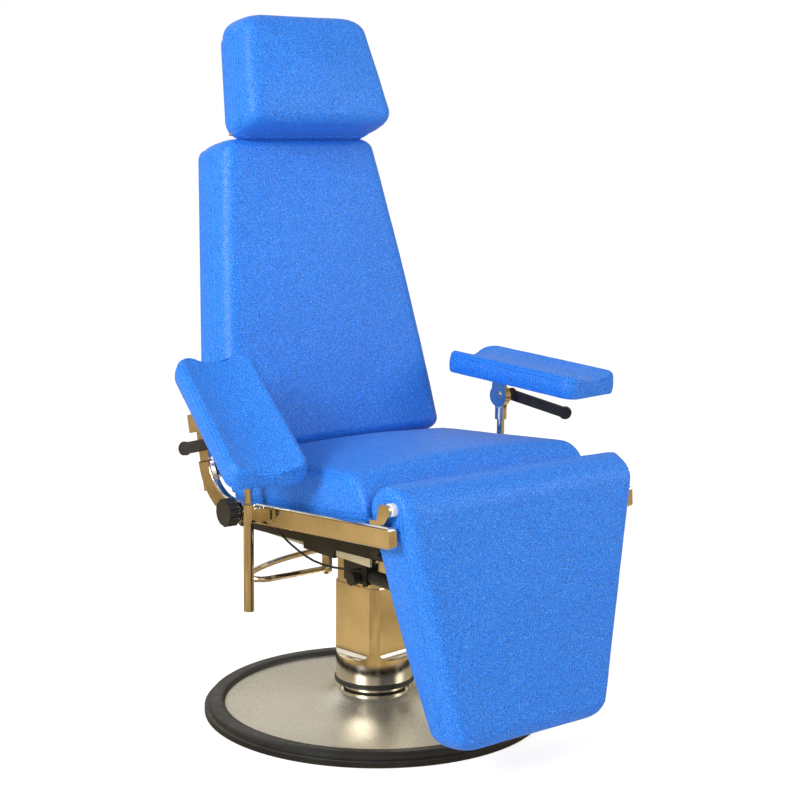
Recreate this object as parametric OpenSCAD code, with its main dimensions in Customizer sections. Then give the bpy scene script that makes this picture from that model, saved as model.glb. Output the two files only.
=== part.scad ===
// Phlebotomy chair: a padded blood-sampling chair on a round base with a lifting column,
// a turning seat, a reclining back linked to the leg rest, and two adjustable arm rests.
// Millimetres, +Z up, floor at z = 0, column axis on Z, the sitter faces -Y.

/* [Base] */
// Outer radius of the rubber rim
base_r = 350; // [300:5:400]
// Width of the rubber rim
rim_w = 42; // [34:1:50]
// Height of the rubber rim
rim_h = 26; // [22:1:32]
// Height of the domed plate at the column
dome_h = 41; // [34:1:56]
// Thickness of the domed plate
plate_t = 4; // [3:0.5:5]
// Thickness of the ballast ring under the plate
ballast_t = 7; // [4:1:8]

/* [Column] */
// Outer radius of the polished shroud
shroud_r = 80; // [76:1:86]
// Distance of its four flats from the axis
shroud_flat = 63.5; // [61:0.5:66]
// Wall of the shroud and of the inner column
column_t = 3; // [2.5:0.5:3.5]
// Height of the top of the shroud
shroud_top = 270; // [250:5:280]
// Height at which the flats start
flat_start = 139; // [130:1:150]
// Height of the top of the inner column
inner_top = 350; // [345:1:360]
// Length of the inner column
inner_len = 214; // [200:1:216]
// Turn of the column's flats under the seat, in degrees
column_turn = 7; // [0:1:20]
// Height of the steel foot collar
collar_h = 19; // [14:1:22]
// Height of the black seal ring
seal_h = 11; // [8:1:13]
// Radius of the lift rod
lift_rod_r = 12; // [10:1:14]
// Radius of the lift cylinder
lift_cyl_r = 28; // [24:1:32]

/* [Seat frame] */
// Height of the rail centre line above the column axis
seat_h = 450; // [446:1:456]
// Upward tilt of the seat towards its front, in degrees
seat_tilt = 4.3; // [3:0.1:5.5]
// Half the width over the two rails
rail_x = 300; // [296:1:306]
// Height of the flat-oval rail tube
rail_h = 40; // [36:1:42]
// Thickness of the rail tube
rail_w = 18; // [16:1:20]
// Wall of the rail tube
rail_t = 2; // [1.5:0.5:3]
// Rail's front end, ahead of the column axis
rail_front = 428; // [420:1:434]
// Start of the rear bend, behind the column axis
bend_start = 71; // [66:1:76]
// Radius of the rear bend's centre line
bend_r = 102; // [98:1:106]
// Sweep of the rear bend, in degrees
bend_sweep = 80; // [78:1:82]
// Side of the square cross tubes
cross_s = 25; // [22:1:26]
// Half the distance between the carrier's side plates
carrier_x = 150; // [146:1:154]
// Thickness of the carrier's plates
carrier_t = 5; // [4:0.5:6]

/* [Seat] */
// Half the width of the seat cushion
seat_w = 278; // [270:1:280]
// Seat cushion's front face, ahead of the column axis
seat_front = 331; // [322:1:333]
// Seat cushion's rear face, behind the column axis
seat_rear = 112; // [104:1:114]
// Thickness of the seat cushion at its edge
seat_t = 76; // [68:1:82]
// Crown of the seat cushion
seat_crown = 18; // [10:1:20]
// Thickness of the seat board
board_t = 12; // [9:1:14]

/* [Back rest] */
// Recline of the back at rest, in degrees
back_recline = 13.3; // [11:0.1:15]
// Front face of the back, behind the column axis, at the height below
back_y = 111; // [108:1:116]
// Height at which that distance is measured
back_z = 560; // [558:1:570]
// Length of the back cushion
back_len = 636; // [600:1:660]
// Half the width of the back at its foot
back_w_foot = 274; // [266:1:274]
// Half the width of the back at its head
back_w_head = 190; // [176:1:204]
// Thickness of the back cushion
back_t = 108; // [98:1:112]
// Crown of the back cushion
back_crown = 10; // [5:1:14]
// Reach of the side plate below the hinge
plate_drop = 37; // [32:1:42]
// Radius of the hinge stud
back_pin_r = 8; // [7:0.5:9]

/* [Head rest] */
// Recline of the head rest, in degrees
head_recline = 19; // [16:0.5:22]
// Front face of the head rest at its foot, behind the column axis
head_y = 163; // [158:1:176]
// Height of the foot of the head rest
head_z = 1190; // [1188:1:1200]
// Length of the head cushion
head_len = 232; // [210:1:250]
// Half the width of the head rest at its foot
head_w_foot = 184; // [170:1:196]
// Half the width of the head rest at its head
head_w_head = 152; // [140:1:166]
// Thickness of the head cushion
head_t = 100; // [90:1:110]
// Radius of the head rest's rod
head_rod_r = 7.5; // [7:0.5:8]

/* [Leg rest] */
// Forward lean of the leg rest, in degrees
leg_lean = 5.2; // [4:0.1:6.5]
// Radius of the roll at the top of the leg rest
leg_roll_r = 55; // [50:1:56]
// Length of the leg rest below its hinge
leg_len = 446; // [400:1:452]
// Half the width of the leg rest at its hinge
leg_w_top = 280; // [268:1:280]
// Half the width of the leg rest at its foot
leg_w_foot = 184; // [170:1:200]
// Thickness of the leg cushion at its foot
leg_t = 82; // [78:1:86]
// How much thicker the leg cushion is at its hinge
leg_wedge = 30; // [24:1:32]
// Hinge of the leg rest, ahead of the column axis
leg_y = 412; // [408:1:414]
// Height of the leg rest's hinge
leg_z = 529; // [525:1:532]
// Radius of the hinge pin
leg_pin_r = 6; // [5:0.5:7]

/* [Link and gas spring] */
// Reach of the link levers behind the hinges
link_back = 75; // [72:1:78]
// Reach of the link levers below the hinges
link_down = 130; // [124:1:134]
// Distance of the links from the middle
link_x = 164; // [162:1:170]
// Radius of the gas spring's body
gas_r = 14; // [12:0.5:15]
// Radius of the gas spring's rod
gas_rod_r = 5; // [4:0.5:6]
// Height of the gas spring
gas_z = 322; // [318:1:326]

/* [Arm rests] */
// Distance of the arm posts from the middle
post_x = 320; // [318:1:324]
// Distance of the arm posts ahead of the column axis
post_y = 18; // [12:1:24]
// Radius of the fixed tube
tube_r = 10; // [9:0.5:11]
// Radius of the sliding rod
rod_r = 8; // [7:0.5:8.5]
// Reach of the fixed tube below the rail's centre line
tube_down = 187; // [170:1:205]
// Height of the left clamp axis above the rail's centre line
left_up = 175; // [160:1:190]
// Height of the right clamp axis above the rail's centre line
right_up = 152; // [140:1:165]
// Centre of the left pad, ahead of its clamp
left_ahead = 48; // [10:1:60]
// Centre of the right pad, ahead of its clamp
right_ahead = 12; // [0:1:60]
// Length of the arm pad
pad_len = 324; // [300:1:350]
// Width of the arm pad
pad_w = 150; // [136:1:160]
// Thickness of the arm pad
pad_t = 46; // [42:1:50]
// Depth of the arm pad's trough
pad_trough = 15; // [8:1:20]
// Downward pitch of the right pad, in degrees
right_pitch = 29; // [20:1:36]
// Downward pitch of the left pad, in degrees
left_pitch = 4; // [0:1:20]
// Outward turn of the right pad, in degrees
right_yaw = 12; // [0:1:20]
// Outward turn of the left pad, in degrees
left_yaw = 7; // [0:1:20]
// Radius of the clamp cheeks
cheek_r = 23; // [20:1:25]
// Radius of the star knob
star_r = 28; // [24:1:30]

/* [Lift hoop] */
// Radius of the hoop's rod
hoop_rod_r = 6; // [5:0.5:7]
// Distance of the hoop's straight bars behind the column axis
hoop_y = 35; // [25:1:45]
// Height of the hoop
hoop_z = 302; // [296:1:308]
// Half the width of the hoop
hoop_w = 265; // [230:5:270]
// Reach of the hoop's arc behind its straight bars
hoop_reach = 133; // [120:1:145]

/* [Hidden] */
$fn = 72;

// Clearances and overruns
cut = 2;              // overrun of every cut
run = 0.05;           // radial play of a pin in its bore
air = 0.4;            // gap between pieces that move past each other
seat_gap = 0.3;       // gap under a soft piece

// Colours
blue = [0.16, 0.42, 0.86];
black = [0.05, 0.05, 0.05];
polished = [0.82, 0.78, 0.68];
satin = [0.72, 0.71, 0.68];
white = [0.93, 0.93, 0.90];
wood = [0.62, 0.47, 0.30];

// Base
tuck = 20;            // reach of the plate's edge under the rim
flange_w = 30;        // flat edge of the plate
hub_r = 60;           // foot collar inside the plate
collar_r = 72;        // foot collar on the plate
collar_neck = 66;     // foot collar at its top
seal_r = 82.5;        // seal ring
plate_z = 12;         // underside of the plate's edge
foot_w = 34;          // foot of the rim
rim_step = 8;         // step of the rim above its grooves
groove = 1.2;         // depth of the rim's grooves
dome_r = [1.04, 1.15, 1.28, 1.45, 1.68, 1.9];
dome_s = [1, 0.86, 0.68, 0.54, 0.45, 0.4];

// Column
fit = 0.5;            // gap between shroud and inner column
flat_fit = 0.4;       // the same at the flats
run_out = 20;         // radius of the flats' run-out
top_plate = 8;        // closed top of the inner column
cyl_t = 3;            // wall of the lift cylinder
gland_h = 12;         // head of the lift cylinder
cyl_floor = 4;        // floor of the lift cylinder
cyl_top = 255;        // top of the lift cylinder
piston_z = 92;        // lower face of the lift piston
bush_h = 20;          // height of the guide bush
disc_h = 6;           // height of the swivel disc
disc_r = 74;          // radius of the swivel disc
spigot_r = 24;        // swivel spigot
nut_r = 32;           // nut on the spigot
nut_h = 6;            // height of that nut
web_z = inner_top + disc_h + air;
web_l = 110;          // half the length of the carrier's web

// Seat frame
corner_r = 5;         // corners of the rail tube
nose_r = 7;           // rounded front end of the rail
cap_t = 4;            // closed front end of the rail
rail_in = rail_x - rail_w;
rail_c = rail_x - rail_w / 2;
board_lo = 14;        // underside of the seat board above the rail's centre line
cross_w = 2;          // wall of the cross tubes
cross_at = [-300, -150, 52];
plate_front = -178;   // front end of the carrier's side plates
plate_rear = 205;     // rear end of the carrier's side plates
plate_h = 62;         // height of their rear end
hinge_in = 12;        // hinge's distance from the bend's end, in degrees
hinge_a = bend_sweep - hinge_in;
hinge_ly = bend_start + bend_r * sin(hinge_a);
hinge_lz = bend_r * (1 - cos(hinge_a));
hinge_y = hinge_ly * cos(seat_tilt) + hinge_lz * sin(seat_tilt);
hinge_z = seat_h - hinge_ly * sin(seat_tilt) + hinge_lz * cos(seat_tilt);
boss_r = 13;          // boss of the back's hinge
plug_t = 2.5;         // flange of the rail plugs
plug_d = 7;           // depth of the rail plugs
plug_play = 1.2;      // play of the plugs in the rail's bore
board_in = 12;        // seat board's edge inside the cushion
board_corner = 20;    // corners of the seat board

// Soft pieces
edge = 18;            // side edge of the seat cushion
waterfall = 60;       // front roll of the seat cushion
back_edge = 20;       // rear edge of the seat cushion
small_edge = 4;       // lower edges
front_edge = 35;      // front corners of the back and head cushions
rear_edge = 14;       // their rear corners
bulge = 6;            // bow of the back's sides
back_foot = 28;       // foot of the back above its hinge
end_edge = 26;        // ends of the back and head cushions
head_board_t = 10;    // board of the head rest
head_off = 14;        // head hinge behind that board
head_drop = 120;      // foot of the head rest below its hinge
pad_base = 35;        // underside of the arm pads above the clamp axis
pad_edge = 16;        // upper edge of the arm pads
pad_corner = 30;      // plan corners of the arm pads
pad_end = 10;         // upper edge at the pads' ends
pad_out = 32;         // centre of the pads outside their post

// Back
shaft_r = 12.5;       // back shaft
stud_in = 5;          // stud's end inside the rail's face
washer_r = 15;        // washers on the studs
side_x = 276.5;       // middle of the side plates
side_t = 6;           // thickness of the side plates
bar_in = 12;          // front edge of the side bar behind the hinge
web_h = 24;           // web between ear and side bar
bar_w = 34;           // width of the side bar
ear_r = 17;           // ear of the side bar round the shaft
bar_top = 128;        // top of the side bars above the hinge
tie_z = 90;           // underside of the tie tube above the hinge
tie_s = 25;           // side of the tie tube
back_side = 12;       // board's edge inside the cushion
mast_r = 11;          // mast behind the board
mast_off = 26;        // mast's axis behind the board
mast_top = 656;       // top of the mast above the hinge
foot_t = 16;          // mast's feet
foot_x = 20;          // half the width of those feet
mast_foot = 300;      // height of the lower one above the hinge
rod_bend = 30;        // bend of the head rest's rod
rod_a = 60;           // its sweep, in degrees
rod_in = 90;          // rod's length inside the mast
bush_in = 30;         // depth of the bush in the mast
bush_top = 4;         // flange of the bush
knuckle_r = 10;       // cross barrel on the rod
knuckle_w = 20;       // half its length
cheek_t = 4;          // cheeks of the head bracket
head_plate_x = 60;    // half the width of the head bracket's plate
head_plate_z = 40;    // half its height
head_plate_t = 3;     // its thickness
head_nut = 8;         // nuts on the head bracket's pin

front_v = (hinge_y - back_y) * cos(back_recline) + (back_z - hinge_z) * sin(back_recline);
board_y = back_t - front_v;
mast_y = board_y + board_t + mast_off;
head_hy = head_y + (head_t + head_board_t + head_off) * cos(head_recline) + head_drop * sin(head_recline);
head_hz = head_z - (head_t + head_board_t + head_off) * sin(head_recline) + head_drop * cos(head_recline);
rod_py = (head_hy - hinge_y) * cos(back_recline) - (head_hz - hinge_z) * sin(back_recline);
rod_pz = (head_hy - hinge_y) * sin(back_recline) + (head_hz - hinge_z) * cos(back_recline);
rod_arm = (mast_y - rod_bend * (1 - cos(rod_a)) - rod_py) / sin(rod_a);
rod_turn = rod_pz - rod_arm * cos(rod_a) - rod_bend * sin(rod_a);

// Leg rest
leg_front = 40;       // front face ahead of the hinge
roll_y = 15;          // roll's centre behind the hinge
roll_z = 15.5;        // roll's centre below the hinge
leg_edge = 30;        // front corners of the leg cushion
leg_crown = 4;        // crown of the leg cushion
leg_board_t = 12;     // board sunk in the leg rest's rear
leg_board_top = 66;   // top of that shell below the hinge
shell_in = 14;        // board's edge inside the cushion's
shell_end = 20;       // board's lower edge above the cushion's
leg_bar_x = 90;       // inner edge of the leg frame's uprights
leg_bar_t = 10;       // thickness of those uprights
leg_bar_end = 40;     // uprights' ends above the foot of the leg rest
leg_tube_z = 86;      // cross tube below the hinge
leg_round = 34;       // lower corners of the leg rest
leg_plate_x = 259;    // middle of the leg rest's hinge plates
leg_bush_r = 12;      // nylon bush of the hinge
lug_x = 292;          // middle of the hinge lugs
lug_t = 6;            // thickness of the hinge lugs
lug_foot = 384;       // middle of the lug's foot, ahead of the column axis
lug_w = 32;           // length of that foot
lug_h = 8;            // height of that foot
lug_drop = 26;        // lug's lower end below the hinge
leg_s = 18;           // side of the leg frame's cross tube
leg_bar_w = 30;       // width of the leg frame's uprights

// Links
lever_x = 155;        // middle of the link levers
lever_t = 6;          // thickness of the link levers
lever_w = 22;         // width of the link levers
link_t = 6;           // thickness of the links
link_h = 24;          // height of the links
pin_r = 5;            // link pins
pin_head = 8;         // heads of the link pins
open_play = 0.4;      // play at the front eye
tie_back = 44;        // tie rod behind the front pins
drop_t = 4;           // thickness of the links' drop plates
drop_w = 20;          // width of those plates
drop_z = 50;          // bend of those plates above the gas spring
head_t_pin = 4;       // heads' outer faces beyond the links
tie_r = 7;            // tie rod between the links
rear_py = hinge_y + link_back;
rear_pz = hinge_z - link_down;
front_py = link_back - leg_y;
front_pz = leg_z - link_down;
link_r = norm([link_back, link_down]);
link_tilt = atan2(front_pz - rear_pz, rear_py - front_py);

// Gas spring and release head
gas_x = -109;         // gas spring beside the column
block_x = 30;         // release head across
block_rear = -60;     // rear face of the release head
block_front = -132;   // front face of the release head
block_lo = 306;       // underside of the release head
block_hi = 346;       // top of the release head
gas_gap = 6;          // gap between release head and spring at rest
gas_len = 175;        // length of the spring's body
gas_end = 7;          // closed end of the body
gas_gland = 8;        // open end of the body
gas_wall = 1.4;       // wall of the body
gas_pin = 10;         // spring's cross pin behind the links' front pins
gas_pin_y = front_py + gas_pin;
leg_root = [leg_t - leg_front + leg_wedge + lever_w / 2 + cut, -leg_tube_z];
slot_play = 0.2;      // play at the ends of the drop plates' slot
tongue = 6;           // half the width of the spring's tongue
cap_r = 13;           // black cap on the release head
cap_l = 22;           // length of that cap
cap_y = -110;         // cap's position
cap_z = 318;          // cap's height
block_nut = 6;        // nut under the release head
block_nut_h = 8;      // its height
cable_r = 2.2;        // release cable
cable_pts = [[-264, -29, 436], [-264, -29, 431.5], [-263.4, -28.9, 427], [-261.5, -28.7, 421.5],
    [-258, -28.3, 415.5], [-253, -27.7, 409], [-246.5, -27.2, 401.5], [-239, -27.5, 393.5], [-230, -30.5, 384],
    [-220, -36.5, 373.5], [-208, -44, 362], [-195, -55, 351.5], [-180, -69, 343.5], [-165, -84, 339],
    [-153, -96, 337.2], [-144, -104.5, 336.5], [-137, -110, 336.2], [-131, -113.2, 336], [-127, -114, 336],
    [-124, -114, 336]];
cable_sides = 8;
round_sides = 24;

// Recline lever
lever_y = -29;        // lever's pivot
lever_z = 448;        // its height
mount_t = 3;          // lever's mounting plate
mount_s = 34;         // side of that plate
pivot_up = 4;         // lever's pivot above its middle
stop_x = 6;           // cable stop beyond the cable
lever_hub = 11;       // hub of the lever
lever_end = 8;        // half the height of the lever's grip
grip_l = 92;          // length of the lever's grip
grip_t = 7;           // thickness of the grip

// Arm rests
sleeve_lo = 440;      // underside of the clamp barrel
sleeve_hi = 474;      // top of the clamp barrel
sleeve_r = 14;        // clamp barrel
strap_t = 4;          // strap on the rail
strap_f = -75;        // front end of the strap
strap_r = 45;         // rear end of the strap
jaw_t = 4.5;          // jaws of the clamp
jaw_gap = 3;          // half the gap between the jaws
stud_y = 14;          // clamp stud behind the column axis
stud_z = 455;         // height of the clamp stud
stud_r = 4;           // clamp stud
knob_in = 333;        // inner face of the star knob
knob_t = 24;          // thickness of the star knob
lobes = 12;           // lobes of the star knob
lobe_r = 5;           // radius of the lobes
knob_step = 2;        // lobes' ends inside the knob's faces
knob_boss = 12;       // boss of the knob
stud_in_jaw = 4.5;    // stud's end beyond the inner jaw
tube_top = 476;       // top of the fixed tube
rod_len = 306;        // length of the sliding rod
rod_drop = 28;        // rod's top below the clamp axis
socket_r = 12.5;      // socket on the rod
socket_l = 26;        // length of that socket
cheek_w = 5;          // half the thickness of the clamp cheek
cone_l = 12;          // cone of the clamp
cone_r = 14;          // small end of the cone
bolt_r = 5;           // clamp bolt
bolt_head = 9;        // head of the clamp bolt
bolt_head_t = 5;      // its thickness
socket_up = 4;        // socket's top above the rod's
bracket_t = 5;        // pad bracket
saddle_t = 4;         // plate under the pad
saddle_l = 150;       // length of that plate
saddle_w = 92;        // width of that plate
hub_x = 17.5;         // inner face of the lever's hub
hub_l = 20;           // length of the lever's hub
hub_o = 13;           // radius of the lever's hub
paddle_l = 126;       // clamp lever's length
paddle_r = 13.5;      // clamp lever's end
paddle_t = 8;         // clamp lever's thickness
paddle_a = 30;        // outward lean of the clamp lever, in degrees
left_lever = 19;      // turn of the left clamp lever, in degrees
right_lever = 163;    // turn of the right clamp lever, in degrees

// Hoop
hoop_in = 88;         // inner ends of the hoop's bars
hanger_x = 96;        // middle of the hoop's hangers
hanger_t = 8;         // thickness of the hangers
hanger_w = 24;        // width of the hangers
cover_y = -69;        // front end of the side covers
cover_l = 102;        // length of the side covers
cover_h = 34;         // height of the side covers
cover_t = 6;          // thickness of the side covers
cover_lip = 20;       // lip of the side covers under the carrier
cover_lip_t = 3.5;    // thickness of that lip
hoop_arc = hoop_w * 1.675;
hoop_cy = hoop_y + hoop_reach - hoop_arc;
hoop_p = hoop_y - hoop_cy - hoop_w + hoop_arc;
hoop_q = pow(hoop_w, 2) + pow(hoop_y - hoop_cy, 2) - pow(hoop_arc, 2);
hoop_corner = sqrt(pow(hoop_p, 2) - hoop_q) - hoop_p;
hoop_turn = atan2(hoop_y + hoop_corner - hoop_cy, hoop_w - hoop_corner);

// Points on an arc
function arc(c, r, a0, a1, n) = [for (i = [0:n]) let (a = a0 + (a1 - a0) * i / n) [c[0] + r * cos(a), c[1]
    + r * sin(a)]];

// Rounded cross-section of a soft piece: width, lower and upper face, corner radii, crown, station
function ring(w, lo, hi, r_hi, r_lo, crown, s) = [for (p = concat(
    arc([w - r_lo, lo + r_lo], r_lo, -90, 0, 2),
    arc([w - r_hi, hi - r_hi], r_hi, 0, 90, 4),
    [for (i = [1:7]) let (u = 1 - i / 4) [u * (w - r_hi), hi + crown * (1 - u * u)]],
    arc([r_hi - w, hi - r_hi], r_hi, 90, 180, 4),
    arc([r_lo - w, lo + r_lo], r_lo, 180, 270, 2))) [p[0], p[1], s]];

// Solid through a row of cross-sections
module loft(rings) {
    n = len(rings[0]);
    m = len(rings);
    low = [for (i = [0:n - 1]) i];
    top = [for (i = [0:n - 1]) m * n - 1 - i];
    one = [for (k = [0:m - 2]) for (i = [0:n - 1]) [k * n + i, k * n + n + i, k * n + n + (i + 1) % n]];
    two = [for (k = [0:m - 2]) for (i = [0:n - 1]) [k * n + i, k * n + n + (i + 1) % n, k * n + (i + 1) % n]];
    polyhedron(points = [for (r = rings) each r], faces = concat([low], one, two, [top]), convexity = 6);
}

// Flat shape with round corners, centred
module oval(w, h, r) {
    square([w - 2 * r, h], center = true);
    square([w, h - 2 * r], center = true);
    for (x = [-1, 1]) for (y = [-1, 1]) translate([x * (w / 2 - r), y * (h / 2 - r)]) circle(r, $fn = 24);
}

// Bar with round ends between two points
module bar2(a, b, w) {
    chain([a, b], w);
}

// Bar with round ends and bends through a row of points
module chain(row, w) {
    for (q = row) translate(q) circle(w / 2);
    for (i = [1:len(row) - 1]) let (d = row[i] - row[i - 1])
        translate(row[i - 1]) rotate(atan2(d[1], d[0])) translate([0, -w / 2]) square([norm(d), w]);
}

// Stands a flat shape in the plane across X, its middle at x
module across(x, t) {
    translate([x - t / 2, 0, 0]) rotate([90, 0, 90]) linear_extrude(t) children();
}

// Cylinder along X from x0 to x1
module xrod(x0, x1, r, y, z) {
    translate([x0, y, z]) rotate([0, 90, 0]) cylinder(h = x1 - x0, r = r);
}

module both() {
    children();
    mirror([1, 0, 0]) children();
}

module seat_frame() {
    translate([0, 0, seat_h]) rotate([-seat_tilt, 0, 0]) children();
}

module back_frame_at() {
    translate([0, hinge_y, hinge_z]) rotate([-back_recline, 0, 0]) children();
}

module head_at() {
    translate([0, head_hy, head_hz]) rotate([-head_recline, 0, 0]) children();
}

module leg_at() {
    translate([0, -leg_y, leg_z]) rotate([-leg_lean, 0, 0]) children();
}

// Clamp on top of one arm post; x points outwards
module arm_at(side, up, yaw) {
    mirror([side < 0 ? 1 : 0, 0, 0]) translate([post_x, -post_y, seat_h + up]) rotate([0, 0, yaw]) children();
}

// Round column with four flats
module column_form(r, flat, out, z0, z1, z_flat) {
    difference() {
        translate([0, 0, z0]) cylinder(h = z1 - z0, r = r);
        for (a = [0:90:270]) rotate([0, 0, a + column_turn]) {
            translate([flat, -r, z_flat]) cube([r, 2 * r, z1 - z_flat + cut]);
            if (out > 0) translate([shroud_flat + run_out, 0, z_flat]) rotate([90, 0, 0])
                cylinder(h = 2 * r, r = out, center = true);
        }
    }
}

module base_plate() {
    bore = hub_r + seat_gap;
    r_edge = base_r - tuck;
    z_edge = plate_z + plate_t;
    rise = dome_h - z_edge;
    crown = [for (i = [0:5]) [collar_r * dome_r[i], z_edge + rise * dome_s[i]]];
    upper = concat([[bore, dome_h]], crown, [[r_edge - flange_w, z_edge], [r_edge, z_edge]]);
    n = len(upper);
    lower = [for (i = [0:n - 1]) [upper[n - 1 - i][0], upper[n - 1 - i][1] - plate_t]];
    color(satin) rotate_extrude() polygon(concat(upper, lower));
}

module base_rim() {
    r_in = base_r - foot_w;
    r_lip = base_r - rim_w;
    z_edge = plate_z + plate_t;
    slot_r = base_r - tuck + seat_gap;
    step = base_r - rim_step;
    low = plate_z / 5;
    side = [for (i = [0:2]) each [[base_r, low * (1.2 + 1.2 * i)], [base_r - groove, low * (1.4 + 1.2 * i)],
        [base_r - groove, low * (1.8 + 1.2 * i)], [base_r, low * (2 + 1.2 * i)]]];
    color(black) rotate_extrude() polygon(concat(
        [[r_in, 0], [base_r - groove, 0], [base_r, groove]], side,
        [[base_r, plate_z], [base_r - groove, plate_z + groove], [step, plate_z + 2 * groove],
        [step - groove, rim_h - 3 * groove], [step - 4 * groove, rim_h - groove], [step - 8 * groove, rim_h],
        [r_lip + 8 * groove, rim_h], [r_lip + 4 * groove, rim_h - groove], [r_lip + groove,
            rim_h - 4 * groove],
        [r_lip, z_edge], [slot_r, z_edge], [slot_r, plate_z], [r_in, plate_z]]));
}

module base_ballast() {
    r_out = base_r - foot_w - seat_gap;
    color(satin) translate([0, 0, plate_z - ballast_t]) cylinder(h = ballast_t, r = r_out);
}

module base_collar() {
    top = dome_h + collar_h;
    bore = lift_cyl_r + run;
    color(polished) rotate_extrude() polygon([[bore, plate_z], [hub_r, plate_z], [hub_r, dome_h],
        [collar_r, dome_h],
        [collar_r, dome_h + collar_h / 4], [collar_neck, dome_h + collar_h / 2], [collar_neck, top], [bore,
            top]]);
}

module collar_seal() {
    bot = dome_h + collar_h;
    lip = seal_h / 5;
    color(black) rotate_extrude() polygon([[lift_cyl_r + air, bot], [seal_r - lip, bot], [seal_r, bot + lip],
        [seal_r, bot + seal_h - lip], [seal_r - lip, bot + seal_h], [lift_cyl_r + air, bot + seal_h]]);
}

module column_shroud() {
    foot = dome_h + collar_h + seal_h;
    color(polished) difference() {
        column_form(shroud_r, shroud_flat, run_out, foot, shroud_top, flat_start);
        column_form(shroud_r - column_t, shroud_flat - column_t, run_out + column_t, foot - cut,
            shroud_top + cut, flat_start);
    }
}

module inner_column() {
    r = shroud_r - column_t - fit;
    flat = shroud_flat - column_t - flat_fit;
    z0 = inner_top - inner_len;
    low = z0 - 2 * run_out;
    color(polished) difference() {
        column_form(r, flat, 0, z0, inner_top, low);
        column_form(r - column_t, flat - column_t, 0, z0 - cut, inner_top - top_plate, low);
    }
}

module guide_bush() {
    r = shroud_r - 2 * column_t - fit;
    flat = shroud_flat - 2 * column_t - flat_fit;
    z0 = inner_top - inner_len;
    color(white) difference() {
        column_form(r, flat, 0, z0, z0 + bush_h, z0 - 2 * run_out);
        translate([0, 0, z0 - cut]) cylinder(h = bush_h + 2 * cut, r = lift_cyl_r + run);
    }
}

module lift_cylinder() {
    color(black) difference() {
        translate([0, 0, plate_z]) cylinder(h = cyl_top - plate_z, r = lift_cyl_r);
        translate([0, 0, plate_z + cyl_floor]) cylinder(h = cyl_top - gland_h - plate_z - cyl_floor,
            r = lift_cyl_r - cyl_t);
        translate([0, 0, cyl_top - gland_h - cut]) cylinder(h = gland_h + 2 * cut, r = lift_rod_r + run);
    }
}

module lift_rod() {
    color(polished) {
        translate([0, 0, piston_z]) cylinder(h = inner_top - top_plate - piston_z, r = lift_rod_r);
        translate([0, 0, piston_z]) cylinder(h = gland_h, r = lift_cyl_r - cyl_t - run);
    }
}

module swivel_bearing() {
    top = web_z + carrier_t + air;
    color(white) {
        translate([0, 0, inner_top]) cylinder(h = disc_h, r = disc_r);
        translate([0, 0, inner_top]) cylinder(h = top - inner_top, r = spigot_r);
        translate([0, 0, top]) cylinder(h = nut_h, r = nut_r, $fn = 6);
    }
}

module seat_carrier() {
    cross_lo = board_lo - cross_s;
    yf = plate_front;
    function top_z(y) = seat_h - y * tan(seat_tilt) + cross_lo / cos(seat_tilt);
    color(satin) {
        difference() {
            translate([-carrier_x, -web_l, web_z]) cube([2 * carrier_x, 2 * web_l, carrier_t]);
            translate([0, 0, web_z - cut]) cylinder(h = carrier_t + 2 * cut, r = spigot_r + run);
        }
        both() across(carrier_x - carrier_t / 2, carrier_t) polygon([[yf, web_z],
            [plate_rear - plate_h / 3, web_z],
            [plate_rear, web_z + plate_h / 3], [plate_rear, top_z(plate_rear) - plate_h / 8],
            [2 * web_l / 3, top_z(2 * web_l / 3)], [yf, top_z(yf)]]);
    }
}

module cross_tubes() {
    mid = board_lo - cross_s / 2;
    hole = cross_s - 2 * cross_w;
    color(satin) seat_frame() for (y = cross_at) difference() {
        translate([0, y, mid]) cube([2 * rail_in, cross_s, cross_s], center = true);
        translate([0, y, mid]) cube([2 * rail_in + cut, hole, hole], center = true);
    }
}

// Outside or bore of one rail, grown inwards by t
module rail_form(t, front) {
    w = rail_w - 2 * t;
    h = rail_h - 2 * t;
    translate([0, bend_start, 0]) rotate([90, 0, 0]) linear_extrude(front + bend_start) oval(w, h,
        corner_r - t);
    translate([0, bend_start, bend_r]) rotate([90, 0, 90]) rotate([0, 0, -90])
        rotate_extrude(angle = bend_sweep) translate([bend_r, 0]) oval(h, w, corner_r - t);
}

module rail() {
    seat_frame() translate([rail_c, 0, 0]) difference() {
        union() {
            difference() {
                rail_form(0, rail_front);
                rail_form(rail_t, rail_front - cap_t);
            }
            translate([0, hinge_ly, hinge_lz]) rotate([0, 90, 0]) cylinder(h = rail_w - rail_t, r = boss_r,
                center = true);
        }
        translate([-rail_w / 2 - cut, hinge_ly, hinge_lz]) rotate([0, 90, 0])
            cylinder(h = rail_w + cut - stud_in + run, r = back_pin_r + run);
        for (z = [-1, 1]) difference() {
            translate([0, -rail_front, z * rail_h / 2]) cube([2 * rail_w, 2 * nose_r, 2 * nose_r],
                center = true);
            translate([0, nose_r - rail_front, z * (rail_h / 2 - nose_r)]) rotate([0, 90, 0])
                cylinder(h = 3 * rail_w, r = nose_r, center = true);
        }
    }
}

module rail_left() {
    color(polished) rail();
}

module rail_right() {
    color(polished) mirror([1, 0, 0]) rail();
}

module rail_plugs() {
    w = rail_w - 2 * rail_t - plug_play;
    h = rail_h - 2 * rail_t - plug_play;
    color(black) both() seat_frame() translate([rail_c, bend_start, bend_r]) rotate([bend_sweep, 0, 0])
        translate([0, plug_t, -bend_r]) rotate([90, 0, 0]) {
            linear_extrude(plug_t) oval(rail_w, rail_h, corner_r);
            linear_extrude(plug_t + plug_d) oval(w, h, corner_r - rail_t);
        }
}

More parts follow.
